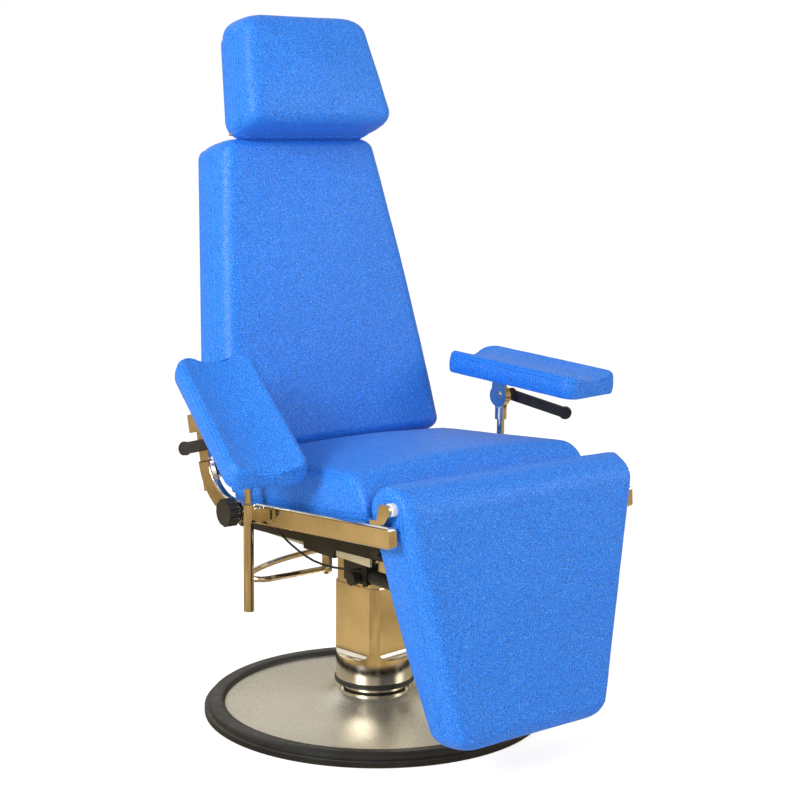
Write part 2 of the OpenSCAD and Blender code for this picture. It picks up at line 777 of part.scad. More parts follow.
module leg_hinge_lugs() {
    color(polished) both() {
        seat_frame() across(lug_x, lug_t) translate([-lug_foot, rail_h / 2 + lug_h / 2]) square([lug_w,
            lug_h], center = true);
        across(lug_x, lug_t) polygon([[-leg_y - lug_w / 4, leg_z - lug_h], [-leg_y + lug_w / 5,
            leg_z - lug_drop],
            [-leg_y + lug_w * 0.9, leg_z - lug_drop], [-leg_y + lug_w * 0.6, leg_z + lug_h],
            [-leg_y + lug_h / 2, leg_z + lug_h * 1.25]]);
        across(lug_x, lug_t) translate([-leg_y, leg_z]) circle(leg_pin_r * 1.7);
        xrod(leg_plate_x - lever_t / 2, lug_x + lug_t / 2, leg_pin_r, -leg_y, leg_z);
    }
}

module leg_hinge_bushes() {
    in = leg_plate_x + lever_t / 2;
    out = lug_x - lug_t / 2 - seat_gap;
    color(white) both() leg_at() difference() {
        xrod(in, out, leg_bush_r, 0, 0);
        xrod(in - cut, out + cut, leg_pin_r + run, 0, 0);
    }
}

module seat_board() {
    w = 2 * (seat_w - board_in);
    l = seat_front + seat_rear - 1.5 * board_in;
    color(wood) seat_frame() translate([0, (seat_rear - seat_front) / 2, board_lo]) linear_extrude(board_t)
        oval(w, l, board_corner);
}

module seat_cushion() {
    lo = board_lo + board_t + seat_gap;
    hi = lo + seat_t;
    mid = (seat_front - seat_rear) / 2;
    half = (seat_front + seat_rear) / 2;
    function swell(s) = seat_crown * (1 - pow((s - mid) / half, 4));
    rear = [for (a = [0:22.5:90]) let (s = back_edge * (1 - cos(a)) - seat_rear)
        ring(seat_w - back_edge / 2 * (1 - sin(a)), lo, hi - back_edge * (1 - sin(a)), edge, small_edge,
            swell(s), s)];
    body = [for (i = [1:4]) let (s = back_edge - seat_rear + (2 * half - back_edge - waterfall) * i / 5)
        ring(seat_w, lo, hi, edge, small_edge, swell(s), s)];
    nose = [for (a = [90:-11.25:0]) let (s = seat_front - waterfall * (1 - cos(a)),
        h = hi - waterfall * (1 - sin(a)))
        ring(seat_w - edge / 2 * (1 - sin(a)), lo, h, min(edge, (h - lo) * 0.45), min(small_edge, (h - lo)
            * 0.3),
            swell(s), s)];
    color(blue) seat_frame() rotate([90, 0, 0]) loft(concat(rear, body, nose));
}

module arm_brackets() {
    high = sleeve_hi - sleeve_lo;
    jaw_l = stud_y + post_y + 3 * stud_r;
    color(polished) both() {
        seat_frame() translate([rail_x, strap_f, -rail_h / 4]) cube([strap_t, strap_r - strap_f,
            rail_h * 0.6]);
        difference() {
            union() {
                translate([post_x, -post_y, sleeve_lo]) cylinder(h = high, r = sleeve_r);
                translate([rail_x + strap_t / 2, -post_y - sleeve_r, sleeve_lo]) cube([post_x - rail_x,
                    2 * sleeve_r, high * 0.75]);
                translate([post_x - jaw_gap - jaw_t, -post_y, sleeve_lo]) cube([2 * (jaw_gap + jaw_t),
                    jaw_l, high]);
            }
            translate([post_x, -post_y, sleeve_lo - cut]) cylinder(h = high + 2 * cut, r = tube_r + run);
            translate([post_x - jaw_gap, -post_y, sleeve_lo - cut]) cube([2 * jaw_gap, jaw_l + cut,
                high + 2 * cut]);
            xrod(rail_x + strap_t, post_x + sleeve_r, stud_r + run, stud_y, stud_z);
        }
    }
}

module arm_tubes() {
    low = seat_h - tube_down;
    color(polished) both() translate([post_x, -post_y, low]) difference() {
        cylinder(h = tube_top - low, r = tube_r);
        translate([0, 0, column_t]) cylinder(h = tube_top - low, r = rod_r + run);
    }
}

module gas_spring_body() {
    y0 = block_front - gas_gap;
    y1 = y0 - gas_len + gas_end;
    color(black) difference() {
        union() {
            translate([gas_x, y0, gas_z]) rotate([90, 0, 0]) cylinder(h = gas_len, r = gas_r);
            across(gas_x, 2 * tongue) translate([0, gas_z]) bar2([y1, 0], [gas_pin_y, 0], 3.6 * pin_r);
            xrod(gas_x - 2.2 * tongue, gas_x + 2.2 * tongue, pin_r, gas_pin_y, gas_z);
        }
        translate([gas_x, y0 + cut, gas_z]) rotate([90, 0, 0]) cylinder(h = gas_gland + 2 * cut,
            r = gas_rod_r + run);
        translate([gas_x, y0 - gas_gland, gas_z]) rotate([90, 0, 0])
            cylinder(h = gas_len - gas_gland - gas_end, r = gas_r - gas_wall);
    }
}

module gas_spring_rod() {
    y1 = block_front - gas_gap - gas_len + gas_end + gas_gland / 4;
    color(polished) {
        translate([gas_x, block_front, gas_z]) rotate([90, 0, 0]) cylinder(h = block_front - y1,
            r = gas_rod_r);
        translate([gas_x, y1 + gas_gland / 2 + gas_gland / 4, gas_z]) rotate([90, 0, 0])
            cylinder(h = gas_gland * 0.75, r = gas_r - gas_wall - run);
    }
}

module release_head() {
    x0 = gas_x - block_x / 2;
    color(black) {
        translate([x0, block_front, block_lo]) cube([block_x, block_rear - block_front, block_hi - block_lo]);
        translate([x0, -web_l, block_hi - cut]) cube([block_x, web_l + block_rear - block_nut_h,
            web_z - block_hi + cut]);
        translate([gas_x, cap_y, block_lo - block_nut_h]) cylinder(h = block_nut_h + cut, r = block_nut,
            $fn = 6);
    }
}

module release_cap() {
    x1 = gas_x - block_x / 2;
    color(black) {
        xrod(x1 - cap_l, x1 - cap_l / 3, cap_r, cap_y, cap_z);
        xrod(x1 - cap_l / 2, x1, cap_r / 2, cap_y, cap_z);
    }
}

// Tube of n sides through a row of points; ref is a direction that the row never takes
module sweep(row, r, n, ref) {
    m = len(row);
    dir = [for (i = [0:m - 1]) let (d = row[min(i + 1, m - 1)] - row[max(i - 1, 0)]) d / norm(d)];
    side = [for (d = dir) let (c = cross(d, ref)) c / norm(c)];
    pts = [for (i = [0:m - 1]) let (u = side[i], v = cross(dir[i], u)) for (k = [0:n - 1])
        let (a = 360 * k / n) row[i] + r * (cos(a) * u + sin(a) * v)];
    low = [for (i = [0:n - 1]) i];
    top = [for (i = [0:n - 1]) m * n - 1 - i];
    one = [for (k = [0:m - 2]) for (i = [0:n - 1]) [k * n + i, k * n + n + i, k * n + n + (i + 1) % n]];
    two = [for (k = [0:m - 2]) for (i = [0:n - 1]) [k * n + i, k * n + n + (i + 1) % n, k * n + (i + 1) % n]];
    polyhedron(points = pts, faces = concat([low], one, two, [top]), convexity = 6);
}

module release_cable() {
    color(black) sweep(cable_pts, cable_r, cable_sides, [0, 1, 0]);
}

module lever_mount() {
    p = cable_pts[0];
    color(black) {
        across(mount_t / 2 - rail_in, mount_t) translate([lever_y, lever_z - pivot_up]) oval(mount_s,
            mount_s, corner_r);
        xrod(-rail_in, p[0] - stop_x, stud_r, lever_y, lever_z + pivot_up);
        translate([-rail_in, p[1] - stop_x, p[2]]) cube([p[0] + rail_in + stop_x, 2 * stop_x, mount_t]);
    }
}

module recline_lever() {
    x0 = mount_t + air - rail_in;
    z = lever_z + pivot_up;
    tip = [lever_y - grip_l, z - pivot_up / 2];
    color(black) across(x0 + grip_t / 2, grip_t) difference() {
        polygon(concat(arc(tip, lever_end, 90, 270, 8), arc([lever_y, z], lever_hub, -90, 90, 8)));
        translate([lever_y, z]) circle(stud_r + run);
    }
}

module mechanism_cover() {
    lip = web_z - cover_lip_t;
    color(black) both() {
        translate([carrier_x, cover_y, lip]) cube([cover_t, cover_l, cover_h]);
        translate([carrier_x - cover_lip, cover_y, lip]) cube([cover_lip + cover_t, cover_l, cover_lip_t]);
    }
}

module hoop_brackets() {
    color(polished) both() difference() {
        across(hanger_x, hanger_t) union() {
            bar2([hoop_y, hoop_z], [hoop_y, web_z - hanger_w / 2], hanger_w);
            translate([hoop_y - hanger_w / 2, web_z - hanger_w]) square([hanger_w, hanger_w]);
        }
        xrod(hanger_x - hanger_t, hanger_x + hanger_t, hoop_rod_r + run, hoop_y, hoop_z);
    }
}

module lift_hoop() {
    bend = concat([[hoop_in, hoop_y], [hoop_w - hoop_corner - hanger_w, hoop_y]],
        arc([hoop_w - hoop_corner, hoop_y + hoop_corner], hoop_corner, -90, hoop_turn, 12));
    back = arc([0, hoop_cy], hoop_arc, hoop_turn, 180 - hoop_turn, 20);
    mid = [for (i = [1:len(back) - 2]) back[i]];
    rest = [for (i = [len(bend) - 1:-1:0]) [-bend[i][0], bend[i][1]]];
    row = [for (q = concat(bend, mid, rest)) [q[0], q[1], hoop_z]];
    color(polished) sweep(row, hoop_rod_r, round_sides, [0, 0, 1]);
}

module back_shaft() {
    end = side_x - side_t / 2;
    color(satin) {
        xrod(-end, end, shaft_r, hinge_y, hinge_z);
        xrod(-rail_x + stud_in, rail_x - stud_in, back_pin_r, hinge_y, hinge_z);
        both() {
            across(lever_x, lever_t) bar2([hinge_y, hinge_z], [rear_py, rear_pz], lever_w);
            xrod(lever_x, link_x + link_t / 2 + air, pin_r, rear_py, rear_pz);
            xrod(link_x + link_t / 2 + air, link_x + link_t / 2 + head_t_pin, pin_head, rear_py, rear_pz);
        }
    }
}

module back_washers() {
    in = side_x + side_t / 2;
    color(black) both() difference() {
        xrod(in, rail_in - air / 2, washer_r, hinge_y, hinge_z);
        xrod(in - cut, rail_in + cut, back_pin_r + run, hinge_y, hinge_z);
    }
}

module back_side_plates() {
    tie_y = board_y + board_t;
    color(polished) both() back_frame_at() difference() {
        across(side_x, side_t) union() {
            circle(ear_r);
            translate([0, -web_h / 2]) square([bar_in + cut, web_h]);
            translate([bar_in, -plate_drop]) square([bar_w, bar_top + plate_drop]);
            translate([bar_in, tie_z - web_h / 4]) square([tie_y + tie_s - bar_in, tie_s + web_h / 2]);
        }
        xrod(side_x - side_t, side_x + side_t, back_pin_r + run, 0, 0);
    }
}

module back_frame() {
    tie_y = board_y + board_t;
    end = side_x - side_t / 2;
    hole = tie_s - 2 * cross_w;
    color(satin) back_frame_at() difference() {
        union() {
            translate([-end, tie_y, tie_z]) cube([2 * end, tie_s, tie_s]);
            translate([0, mast_y, tie_z + cross_w]) cylinder(h = mast_top - tie_z - cross_w, r = mast_r);
            for (z = [mast_foot, 2 * mast_foot]) translate([-foot_x, tie_y, z]) cube([2 * foot_x, mast_off,
                foot_t]);
        }
        translate([-end - cut, tie_y + cross_w, tie_z + cross_w]) cube([2 * end + 2 * cut, hole, hole]);
        translate([0, mast_y, tie_z + 1.4 * tie_s]) cylinder(h = mast_top, r = head_rod_r + cross_w / 2);
    }
}

module headrest_bush() {
    color(black) back_frame_at() translate([0, mast_y, mast_top]) difference() {
        union() {
            translate([0, 0, -bush_in]) cylinder(h = bush_in, r = head_rod_r + cross_w / 2);
            cylinder(h = bush_top, r = mast_r + cross_w / 2);
        }
        translate([0, 0, -bush_in - cut]) cylinder(h = bush_in + bush_top + 2 * cut, r = head_rod_r + run);
    }
}

module back_board() {
    w0 = back_w_foot - back_side;
    w1 = back_w_head - back_side;
    h = back_len - 2 * back_side;
    color(wood) back_frame_at() translate([0, board_y + board_t, back_foot + back_side]) rotate([90, 0, 0])
        linear_extrude(board_t) polygon([[-w0, 0], [w0, 0], [w1, h], [-w1, h]]);
}

// Half width of the back cushion at height s above its foot
function back_w(s) = back_w_foot + (back_w_head - back_w_foot)
    * s / back_len + bulge * sin(180 * s / back_len);

module back_cushion() {
    lo = seat_gap - board_y;
    hi = front_v;
    turn = [for (a = [0:18:90]) a];
    foot = [for (a = turn) let (s = end_edge * (1 - cos(a)), d = end_edge * (1 - sin(a)))
        ring(back_w(s) - d, lo + d / 3, hi - d, front_edge, rear_edge, 0, back_foot + s)];
    body = [for (i = [1:5]) let (s = end_edge + (back_len - 2 * end_edge) * i / 6)
        ring(back_w(s), lo, hi, front_edge, rear_edge, back_crown * sin(180 * i / 6), back_foot + s)];
    head = [for (a = turn) let (b = 90 - a, s = back_len - end_edge * (1 - cos(b)),
        d = end_edge * (1 - sin(b)))
        ring(back_w(s) - d, lo + d / 3, hi - d, front_edge, rear_edge, 0, back_foot + s)];
    color(blue) back_frame_at() rotate([0, 0, 180]) loft(concat(foot, body, head));
}

module headrest_rod() {
    start = mast_top - rod_in;
    turn = arc([mast_y - rod_bend, rod_turn], rod_bend, 0, rod_a, 8);
    row = [for (q = concat([[mast_y, start]], turn, [[rod_py, rod_pz]])) [0, q[0], q[1]]];
    color(polished) back_frame_at() difference() {
        union() {
            sweep(row, head_rod_r, round_sides, [1, 0, 0]);
            xrod(-knuckle_w, knuckle_w, knuckle_r, rod_py, rod_pz);
        }
        xrod(-knuckle_w - cut, knuckle_w + cut, bolt_r + run, rod_py, rod_pz);
    }
}

module headrest_bracket() {
    x = knuckle_w + air;
    r = knuckle_r + head_plate_t;
    color(black) head_at() {
        both() {
            across(x + cheek_t / 2, cheek_t) union() {
                circle(r);
                translate([-head_off, -r]) square([head_off, 2 * r]);
            }
            translate([x + cheek_t, 0, 0]) rotate([0, 90, 0]) cylinder(h = head_plate_t, r = head_nut,
                $fn = 6);
        }
        xrod(-x - cheek_t, x + cheek_t, bolt_r, 0, 0);
        translate([-head_plate_x, -head_off, -head_plate_z]) cube([2 * head_plate_x, head_plate_t,
            2 * head_plate_z]);
    }
}

module headrest_board() {
    w0 = head_w_foot - back_side;
    w1 = head_w_head - back_side;
    h = head_len - 2 * back_side;
    color(wood) head_at() translate([0, -head_off, back_side - head_drop]) rotate([90, 0, 0])
        linear_extrude(head_board_t) polygon([[-w0, 0], [w0, 0], [w1, h], [-w1, h]]);
}

module headrest_cushion() {
    lo = head_off + head_board_t + seat_gap;
    hi = lo + head_t - seat_gap;
    turn = [for (a = [0:18:90]) a];
    function w(s) = head_w_foot + (head_w_head - head_w_foot) * s / head_len;
    foot = [for (a = turn) let (s = front_edge * (1 - cos(a)), d = front_edge * (1 - sin(a)))
        ring(w(s) - d, lo + d / 4, hi - d * 0.8, front_edge * 0.85, rear_edge, 0, s - head_drop)];
    body = [for (i = [1:3]) let (s = front_edge + (head_len - 2 * front_edge) * i / 4)
        ring(w(s), lo, hi, front_edge * 0.85, rear_edge, back_crown * sin(45 * i), s - head_drop)];
    head = [for (a = turn) let (b = 90 - a, s = head_len - front_edge * (1 - cos(b)),
        d = front_edge * (1 - sin(b)))
        ring(w(s) - d, lo + d / 4, hi - d * 0.8, front_edge * 0.85, rear_edge, 0, s - head_drop)];
    color(blue) head_at() rotate([0, 0, 180]) loft(concat(foot, body, head));
}

module push_links() {
    tie = [front_py + tie_back, front_pz - tie_back * tan(link_tilt)];
    dip = link_r * (1 - cos(30));
    color(black) {
        both() across(link_x, link_t) difference() {
            bar2([rear_py, rear_pz], [front_py, front_pz], link_h);
            translate([rear_py, rear_pz]) circle(pin_r + run);
            translate([front_py, front_pz]) circle(pin_r + open_play);
        }
        xrod(-link_x, link_x, tie_r, tie[0], tie[1]);
        for (s = [-1, 1]) across(gas_x + s * (tongue + air + drop_t / 2), drop_t) difference() {
            chain([tie, [gas_pin_y, gas_z + drop_z], [gas_pin_y, gas_z]], drop_w);
            bar2([gas_pin_y, gas_z - slot_play], [gas_pin_y, gas_z + dip + slot_play], 2.8 * pin_r);
        }
    }
}

// Rear face of the leg rest at height s above its hinge
function leg_rear(s) = leg_t - leg_front + leg_wedge * (1 - pow((-s - leg_board_top)
    / (leg_len - leg_board_top), 2));

// Half width of the leg cushion at height s above its hinge
function leg_w(s) = leg_w_top - (leg_w_top - leg_w_foot) * max(0, -s) / leg_len;

// Flat outline of the leg rest's hinge plate, grown by t
module leg_plate(t) {
    circle(leg_bush_r + bracket_t / 2 + t);
    bar2([0, 0], leg_root, lever_w + 2 * t);
}

// Strip that follows the rear face of the leg rest, from x0 to x1 and between two depths and heights
module leg_strip(x0, x1, t0, t1, top, foot) {
    rows = [for (i = [0:8]) top + (foot - top) * i / 8];
    front = [for (s = rows) [leg_rear(s) + t0, s]];
    rear = [for (i = [8:-1:0]) [leg_rear(rows[i]) + t1, rows[i]]];
    across((x0 + x1) / 2, x1 - x0) polygon(concat(front, rear));
}

// Board of the leg rest, grown by g and out to the rear by t
module leg_board_form(g, t) {
    foot = shell_end - leg_len - g;
    top = g - leg_board_top;
    w0 = leg_w(foot) - shell_in + g;
    w1 = leg_w(top) - shell_in + g;
    intersection() {
        leg_strip(-leg_w_top, leg_w_top, -leg_board_t - g, t, top, foot);
        translate([0, leg_w_top, 0]) rotate([90, 0, 0]) linear_extrude(2 * leg_w_top)
            polygon([[-w0, foot], [w0, foot], [w1, top], [-w1, top]]);
    }
}

module legrest_frame() {
    py = link_back * cos(leg_lean) + link_down * sin(leg_lean);
    pz = link_back * sin(leg_lean) - link_down * cos(leg_lean);
    color(black) leg_at() {
        both() {
            across(leg_plate_x, lever_t) difference() {
                leg_plate(0);
                circle(leg_pin_r + run);
            }
            across(lever_x, lever_t) bar2(leg_root, [py, pz], lever_w);
            xrod(lever_x, link_x + link_t / 2 + air, pin_r, py, pz);
            xrod(link_x + link_t / 2 + air, link_x + link_t / 2 + head_t_pin, pin_head, py, pz);
            leg_strip(leg_bar_x, leg_bar_x + leg_bar_w, seat_gap, leg_bar_t, -leg_tube_z,
                leg_bar_end - leg_len);
        }
        translate([-leg_plate_x, leg_rear(-leg_board_top), -leg_tube_z - leg_s / 2]) cube([2 * leg_plate_x,
            leg_s, leg_s]);
    }
}

module legrest_board() {
    color(black) leg_at() leg_board_form(0, 0);
}

module legrest_cushion() {
    hi = leg_front;
    r = 0.7 * leg_edge;
    foot = [for (a = [0:18:90]) let (s = leg_round * (1 - cos(a)) - leg_len, d = leg_round * (1 - sin(a)))
        ring(leg_w(s) - d, d / 6 - leg_rear(s), hi - d * 0.6, r, rear_edge, 0, s)];
    body = [for (i = [1:5]) let (s = leg_round - leg_len + (leg_len - leg_round - leg_board_top) * i / 5)
        ring(leg_w(s), -leg_rear(s), hi, r, rear_edge, leg_crown * sin(36 * i), s)];
    roll = [for (a = [-10, 5, 20, 35, 48, 60, 70, 79])
        let (s = leg_roll_r * sin(a) - roll_z, c = leg_roll_r * cos(a), d = max(0, a - 35) / 10)
        ring(leg_w(s) - d, -c - roll_y, (a < 5) ? hi : c - roll_y, min(r, c * 0.8), min(rear_edge,
            c * 0.8), 0, s)];
    color(blue) leg_at() difference() {
        rotate([0, 0, 180]) loft(concat(foot, body, roll));
        leg_board_form(seat_gap, leg_board_t);
        both() {
            xrod(leg_plate_x - lever_t / 2 - seat_gap, leg_w_top + leg_round, leg_bush_r + seat_gap, 0, 0);
            across(leg_plate_x, lever_t + 2 * seat_gap) leg_plate(seat_gap);
        }
    }
}

module arm_rod(side, up) {
    top = seat_h + up - rod_drop;
    color(polished) translate([side * post_x, -post_y, top - rod_len]) cylinder(h = rod_len, r = rod_r);
}

module arm_rod_left() {
    arm_rod(1, left_up);
}

module arm_rod_right() {
    arm_rod(-1, right_up);
}

module arm_head() {
    color(polished) difference() {
        union() {
            translate([0, 0, -rod_drop - socket_l + socket_up]) cylinder(h = socket_l, r = socket_r);
            translate([-cheek_w, -socket_r, -rod_drop]) cube([2 * cheek_w, 2 * socket_r, rod_drop]);
            xrod(-cheek_w, cheek_w, cheek_r, 0, 0);
            translate([cheek_w, 0, 0]) rotate([0, 90, 0]) cylinder(h = cone_l, r1 = 0.87 * cheek_r,
                r2 = cone_r);
        }
        translate([0, 0, -rod_drop - socket_l]) cylinder(h = socket_l, r = rod_r + run);
        xrod(-2 * cheek_w, 2 * cheek_w + cone_l, bolt_r + run, 0, 0);
    }
}

module arm_head_left() {
    arm_at(1, left_up, left_yaw) arm_head();
}

module arm_head_right() {
    arm_at(-1, right_up, right_yaw) arm_head();
}

module pad_clamp(ahead) {
    x = -cheek_w - air - bracket_t;
    color(polished) {
        xrod(x, x + bracket_t, cheek_r, 0, 0);
        translate([x, -cheek_r * 0.8, 0]) cube([bracket_t, cheek_r * 1.6, pad_base - saddle_t]);
        translate([x - bolt_head_t, 0, 0]) rotate([0, 90, 0]) cylinder(h = bolt_head_t, r = bolt_head,
            $fn = 6);
        xrod(x, hub_x + hub_l * 0.7, bolt_r, 0, 0);
        translate([x, -ahead - saddle_l / 2, pad_base - saddle_t]) cube([saddle_w, saddle_l, saddle_t]);
    }
}

module pad_clamp_left() {
    arm_at(1, left_up, left_yaw) rotate([left_pitch, 0, 0]) pad_clamp(left_ahead);
}

module pad_clamp_right() {
    arm_at(-1, right_up, right_yaw) rotate([right_pitch, 0, 0]) pad_clamp(right_ahead);
}

module arm_pad(ahead) {
    lo = pad_base + seat_gap;
    hi = pad_base + pad_t;
    w = pad_w / 2;
    s0 = ahead - pad_len / 2;
    turn = [for (a = [0:18:90]) a];
    rear = [for (a = turn) ring(w - pad_corner * (1 - sin(a)), lo, hi - pad_end * (1 - sin(a)), pad_edge,
        small_edge,
        -pad_trough, s0 + pad_corner * (1 - cos(a)))];
    body = [for (i = [1:3]) ring(w, lo, hi, pad_edge, small_edge, -pad_trough,
        s0 + pad_corner + (pad_len - 2 * pad_corner) * i / 4)];
    front = [for (a = turn) let (b = 90 - a, d = 1 - sin(b)) ring(w - pad_corner * d, lo, hi - pad_end * d,
        pad_edge,
        small_edge, -pad_trough, s0 + pad_len - pad_corner * (1 - cos(b)))];
    color(blue) translate([pad_out, 0, 0]) rotate([90, 0, 0]) loft(concat(rear, body, front));
}

module arm_pad_left() {
    arm_at(1, left_up, left_yaw) rotate([left_pitch, 0, 0]) arm_pad(left_ahead);
}

module arm_pad_right() {
    arm_at(-1, right_up, right_yaw) rotate([right_pitch, 0, 0]) arm_pad(right_ahead);
}

module clamp_lever() {
    color(black) difference() {
        union() {
            xrod(hub_x, hub_x + hub_l, hub_o, 0, 0);
            translate([hub_x + hub_l / 3, 0, 0]) rotate([0, 0, paddle_a]) rotate([90, 0, 90])
                linear_extrude(paddle_t) {
                bar2([0, 0], [-paddle_l, 0], 1.7 * hub_o);
                translate([-paddle_l, 0]) circle(paddle_r);
            }
        }
        xrod(hub_x - cut, hub_x + hub_l * 0.75, bolt_r + run, 0, 0);
    }
}

module clamp_lever_left() {
    arm_at(1, left_up, left_yaw) rotate([left_lever, 0, 0]) clamp_lever();
}

module clamp_lever_right() {
    arm_at(-1, right_up, right_yaw) rotate([right_lever, 0, 0]) clamp_lever();
}

module star_knob() {
    rim = star_r - lobe_r;
    x1 = knob_in + knob_t;
    color(black) {
        xrod(post_x - jaw_gap - jaw_t - stud_in_jaw, knob_in + knob_t / 2, stud_r, stud_y, stud_z);
        xrod(knob_in, x1, rim + knob_step, stud_y, stud_z);
        for (a = [0:360 / lobes:359])
            xrod(knob_in + knob_step, x1 - knob_step, lobe_r, stud_y + rim * cos(a), stud_z + rim * sin(a));
        xrod(knob_in - lobe_r, knob_in, knob_boss, stud_y, stud_z);
    }
}

module star_knob_left() {
    star_knob();
}

module star_knob_right() {
    mirror([1, 0, 0]) star_knob();
}

base_plate();
base_rim();
base_ballast();
base_collar();
collar_seal();
column_shroud();
guide_bush();
lift_cylinder();
inner_column();
lift_rod();
swivel_bearing();
seat_carrier();
cross_tubes();
rail_left();
rail_right();
rail_plugs();
leg_hinge_lugs();
leg_hinge_bushes();
seat_board();
seat_cushion();
arm_brackets();
arm_tubes();
gas_spring_body();
gas_spring_rod();
release_head();
release_cap();
release_cable();
lever_mount();
recline_lever();
mechanism_cover();
hoop_brackets();
lift_hoop();
back_shaft();
back_washers();
back_side_plates();
back_frame();
headrest_bush();
back_board();
back_cushion();
headrest_rod();
headrest_bracket();
headrest_board();
headrest_cushion();
push_links();
legrest_frame();
legrest_board();
legrest_cushion();
arm_rod_left();
arm_rod_right();
arm_head_left();
arm_head_right();
pad_clamp_left();
pad_clamp_right();
arm_pad_left();
arm_pad_right();
clamp_lever_left();
clamp_lever_right();
star_knob_left();
star_knob_right();
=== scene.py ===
"""Dresses the phlebotomy chair: stitched vinyl cushions, steel, rubber, plastic and a plain studio."""

import math

import bmesh
import bpy
from bpy.props import FloatProperty, FloatVectorProperty, PointerProperty
from mathutils import Matrix, Vector, noise
from mathutils.bvhtree import BVHTree


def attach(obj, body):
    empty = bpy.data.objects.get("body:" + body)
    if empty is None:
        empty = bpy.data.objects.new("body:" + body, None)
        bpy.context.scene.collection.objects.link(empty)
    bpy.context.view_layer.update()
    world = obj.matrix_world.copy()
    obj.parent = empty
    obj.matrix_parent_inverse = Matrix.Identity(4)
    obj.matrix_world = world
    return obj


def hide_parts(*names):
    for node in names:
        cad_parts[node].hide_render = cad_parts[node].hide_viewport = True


bl_info = {
    "name": "Phlebotomy chair",
    "version": (1, 0, 0),
    "blender": (4, 5, 0),
    "location": "View3D > Sidebar > Chair",
    "description": "Dresses the phlebotomy chair with its cushions, finishes and a plain studio",
    "category": "Object",
}

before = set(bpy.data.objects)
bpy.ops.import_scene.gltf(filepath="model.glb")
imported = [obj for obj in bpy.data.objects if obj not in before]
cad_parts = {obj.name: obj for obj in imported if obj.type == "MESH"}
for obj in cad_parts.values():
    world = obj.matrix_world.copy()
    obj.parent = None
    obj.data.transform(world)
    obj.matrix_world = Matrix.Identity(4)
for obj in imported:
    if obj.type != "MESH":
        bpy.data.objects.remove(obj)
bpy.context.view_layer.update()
MM = 0.001  # millimetres in the chair's frame, which is in metres

# Frames of the padded pieces, each at its own hinge: position in millimetres and lean in degrees
SEAT = ((0.0, 0.0, 450.0), 4.3)
BACK = ((0.0, 169.89, 501.196), 13.3)
HEAD = ((0.0, 319.312, 1263.092), 19.0)
LEG = ((0.0, -412.0, 529.0), 5.2)
ARM_POST = (320.0, -18.0, 450.0)

# Arm pads as they stand: side, height of the clamp, swing, tilt and how far the pad's middle is ahead of it
ARMS = {
    "left": (1, 175, 7, 4, 48),
    "right": (-1, 152, 12, 29, 12),
}

# Sizes of the cushions in millimetres. A half width is measured from the middle, a front or a board
# from the hinge's line, and a station along the cushion.
GAP = 0.3  # between a board and its foam

BACK_LONG = 636.0
BACK_FOOT = 28.0  # station of the foot above the hinge
BACK_HALF, BACK_TAPER, BACK_BULGE = 274, 84, 6
BACK_BOARD, BACK_FRONT = -37.16, 70.84

HEAD_FOOT = -120
HEAD_LONG = 232
HEAD_HALF, HEAD_TAPER = 184, 32
HEAD_BOARD, HEAD_FRONT = 24, 124.3

SEAT_HALF = 278
SEAT_BOARD, SEAT_TOP = 26, 102.3
SEAT_REAR, SEAT_NOSE = -112, 331  # stations of its two ends

LEG_LONG = 446
LEG_HALF, LEG_TAPER = 281, 96
LEG_FRONT = 40
LEG_THIN, LEG_SWELL = 42, 30  # depth behind the hinge at its ends, and what the wedge adds
LEG_BOARD_TOP = 66  # station of the board's upper edge below the hinge
LEG_SIDE = LEG_LONG - 20  # station of the pocket's lower edge
LEG_POCKET = 13.0  # depth of the pocket for the board

PAD_LONG = 344
PAD_HALF = 77
PAD_BASE, PAD_TOP, PAD_DIP = 35.3, 82, -15
PAD_OUT = 32  # middle of the pad beside its clamp


def lean_frame(place, lean):
    """Frame at a place, leaning back by so many degrees."""
    return Matrix.Translation(Vector(place) * MM) @ Matrix.Rotation(math.radians(-lean), 4, "X")


def arm_frame(side, up, yaw, pitch):
    """Frame of one arm pad at its clamp, x pointing outwards."""
    x, y, z = ARM_POST
    post = Matrix.Translation(Vector((x, y, z + up)) * MM)
    turn = Matrix.Rotation(math.radians(yaw), 4, "Z") @ Matrix.Rotation(math.radians(pitch), 4, "X")
    mirror = Matrix.Scale(-1.0 if side < 0 else 1.0, 4, (1.0, 0.0, 0.0))
    return mirror @ post @ turn


# ---------------------------------------------------------------- cushion forms


def arc(centre, radius, start, end, count):
    """Points on an arc, in degrees."""
    angles = [math.radians(start + (end - start) * i / count) for i in range(count + 1)]
    return [(centre[0] + radius * math.cos(a), centre[1] + radius * math.sin(a)) for a in angles]


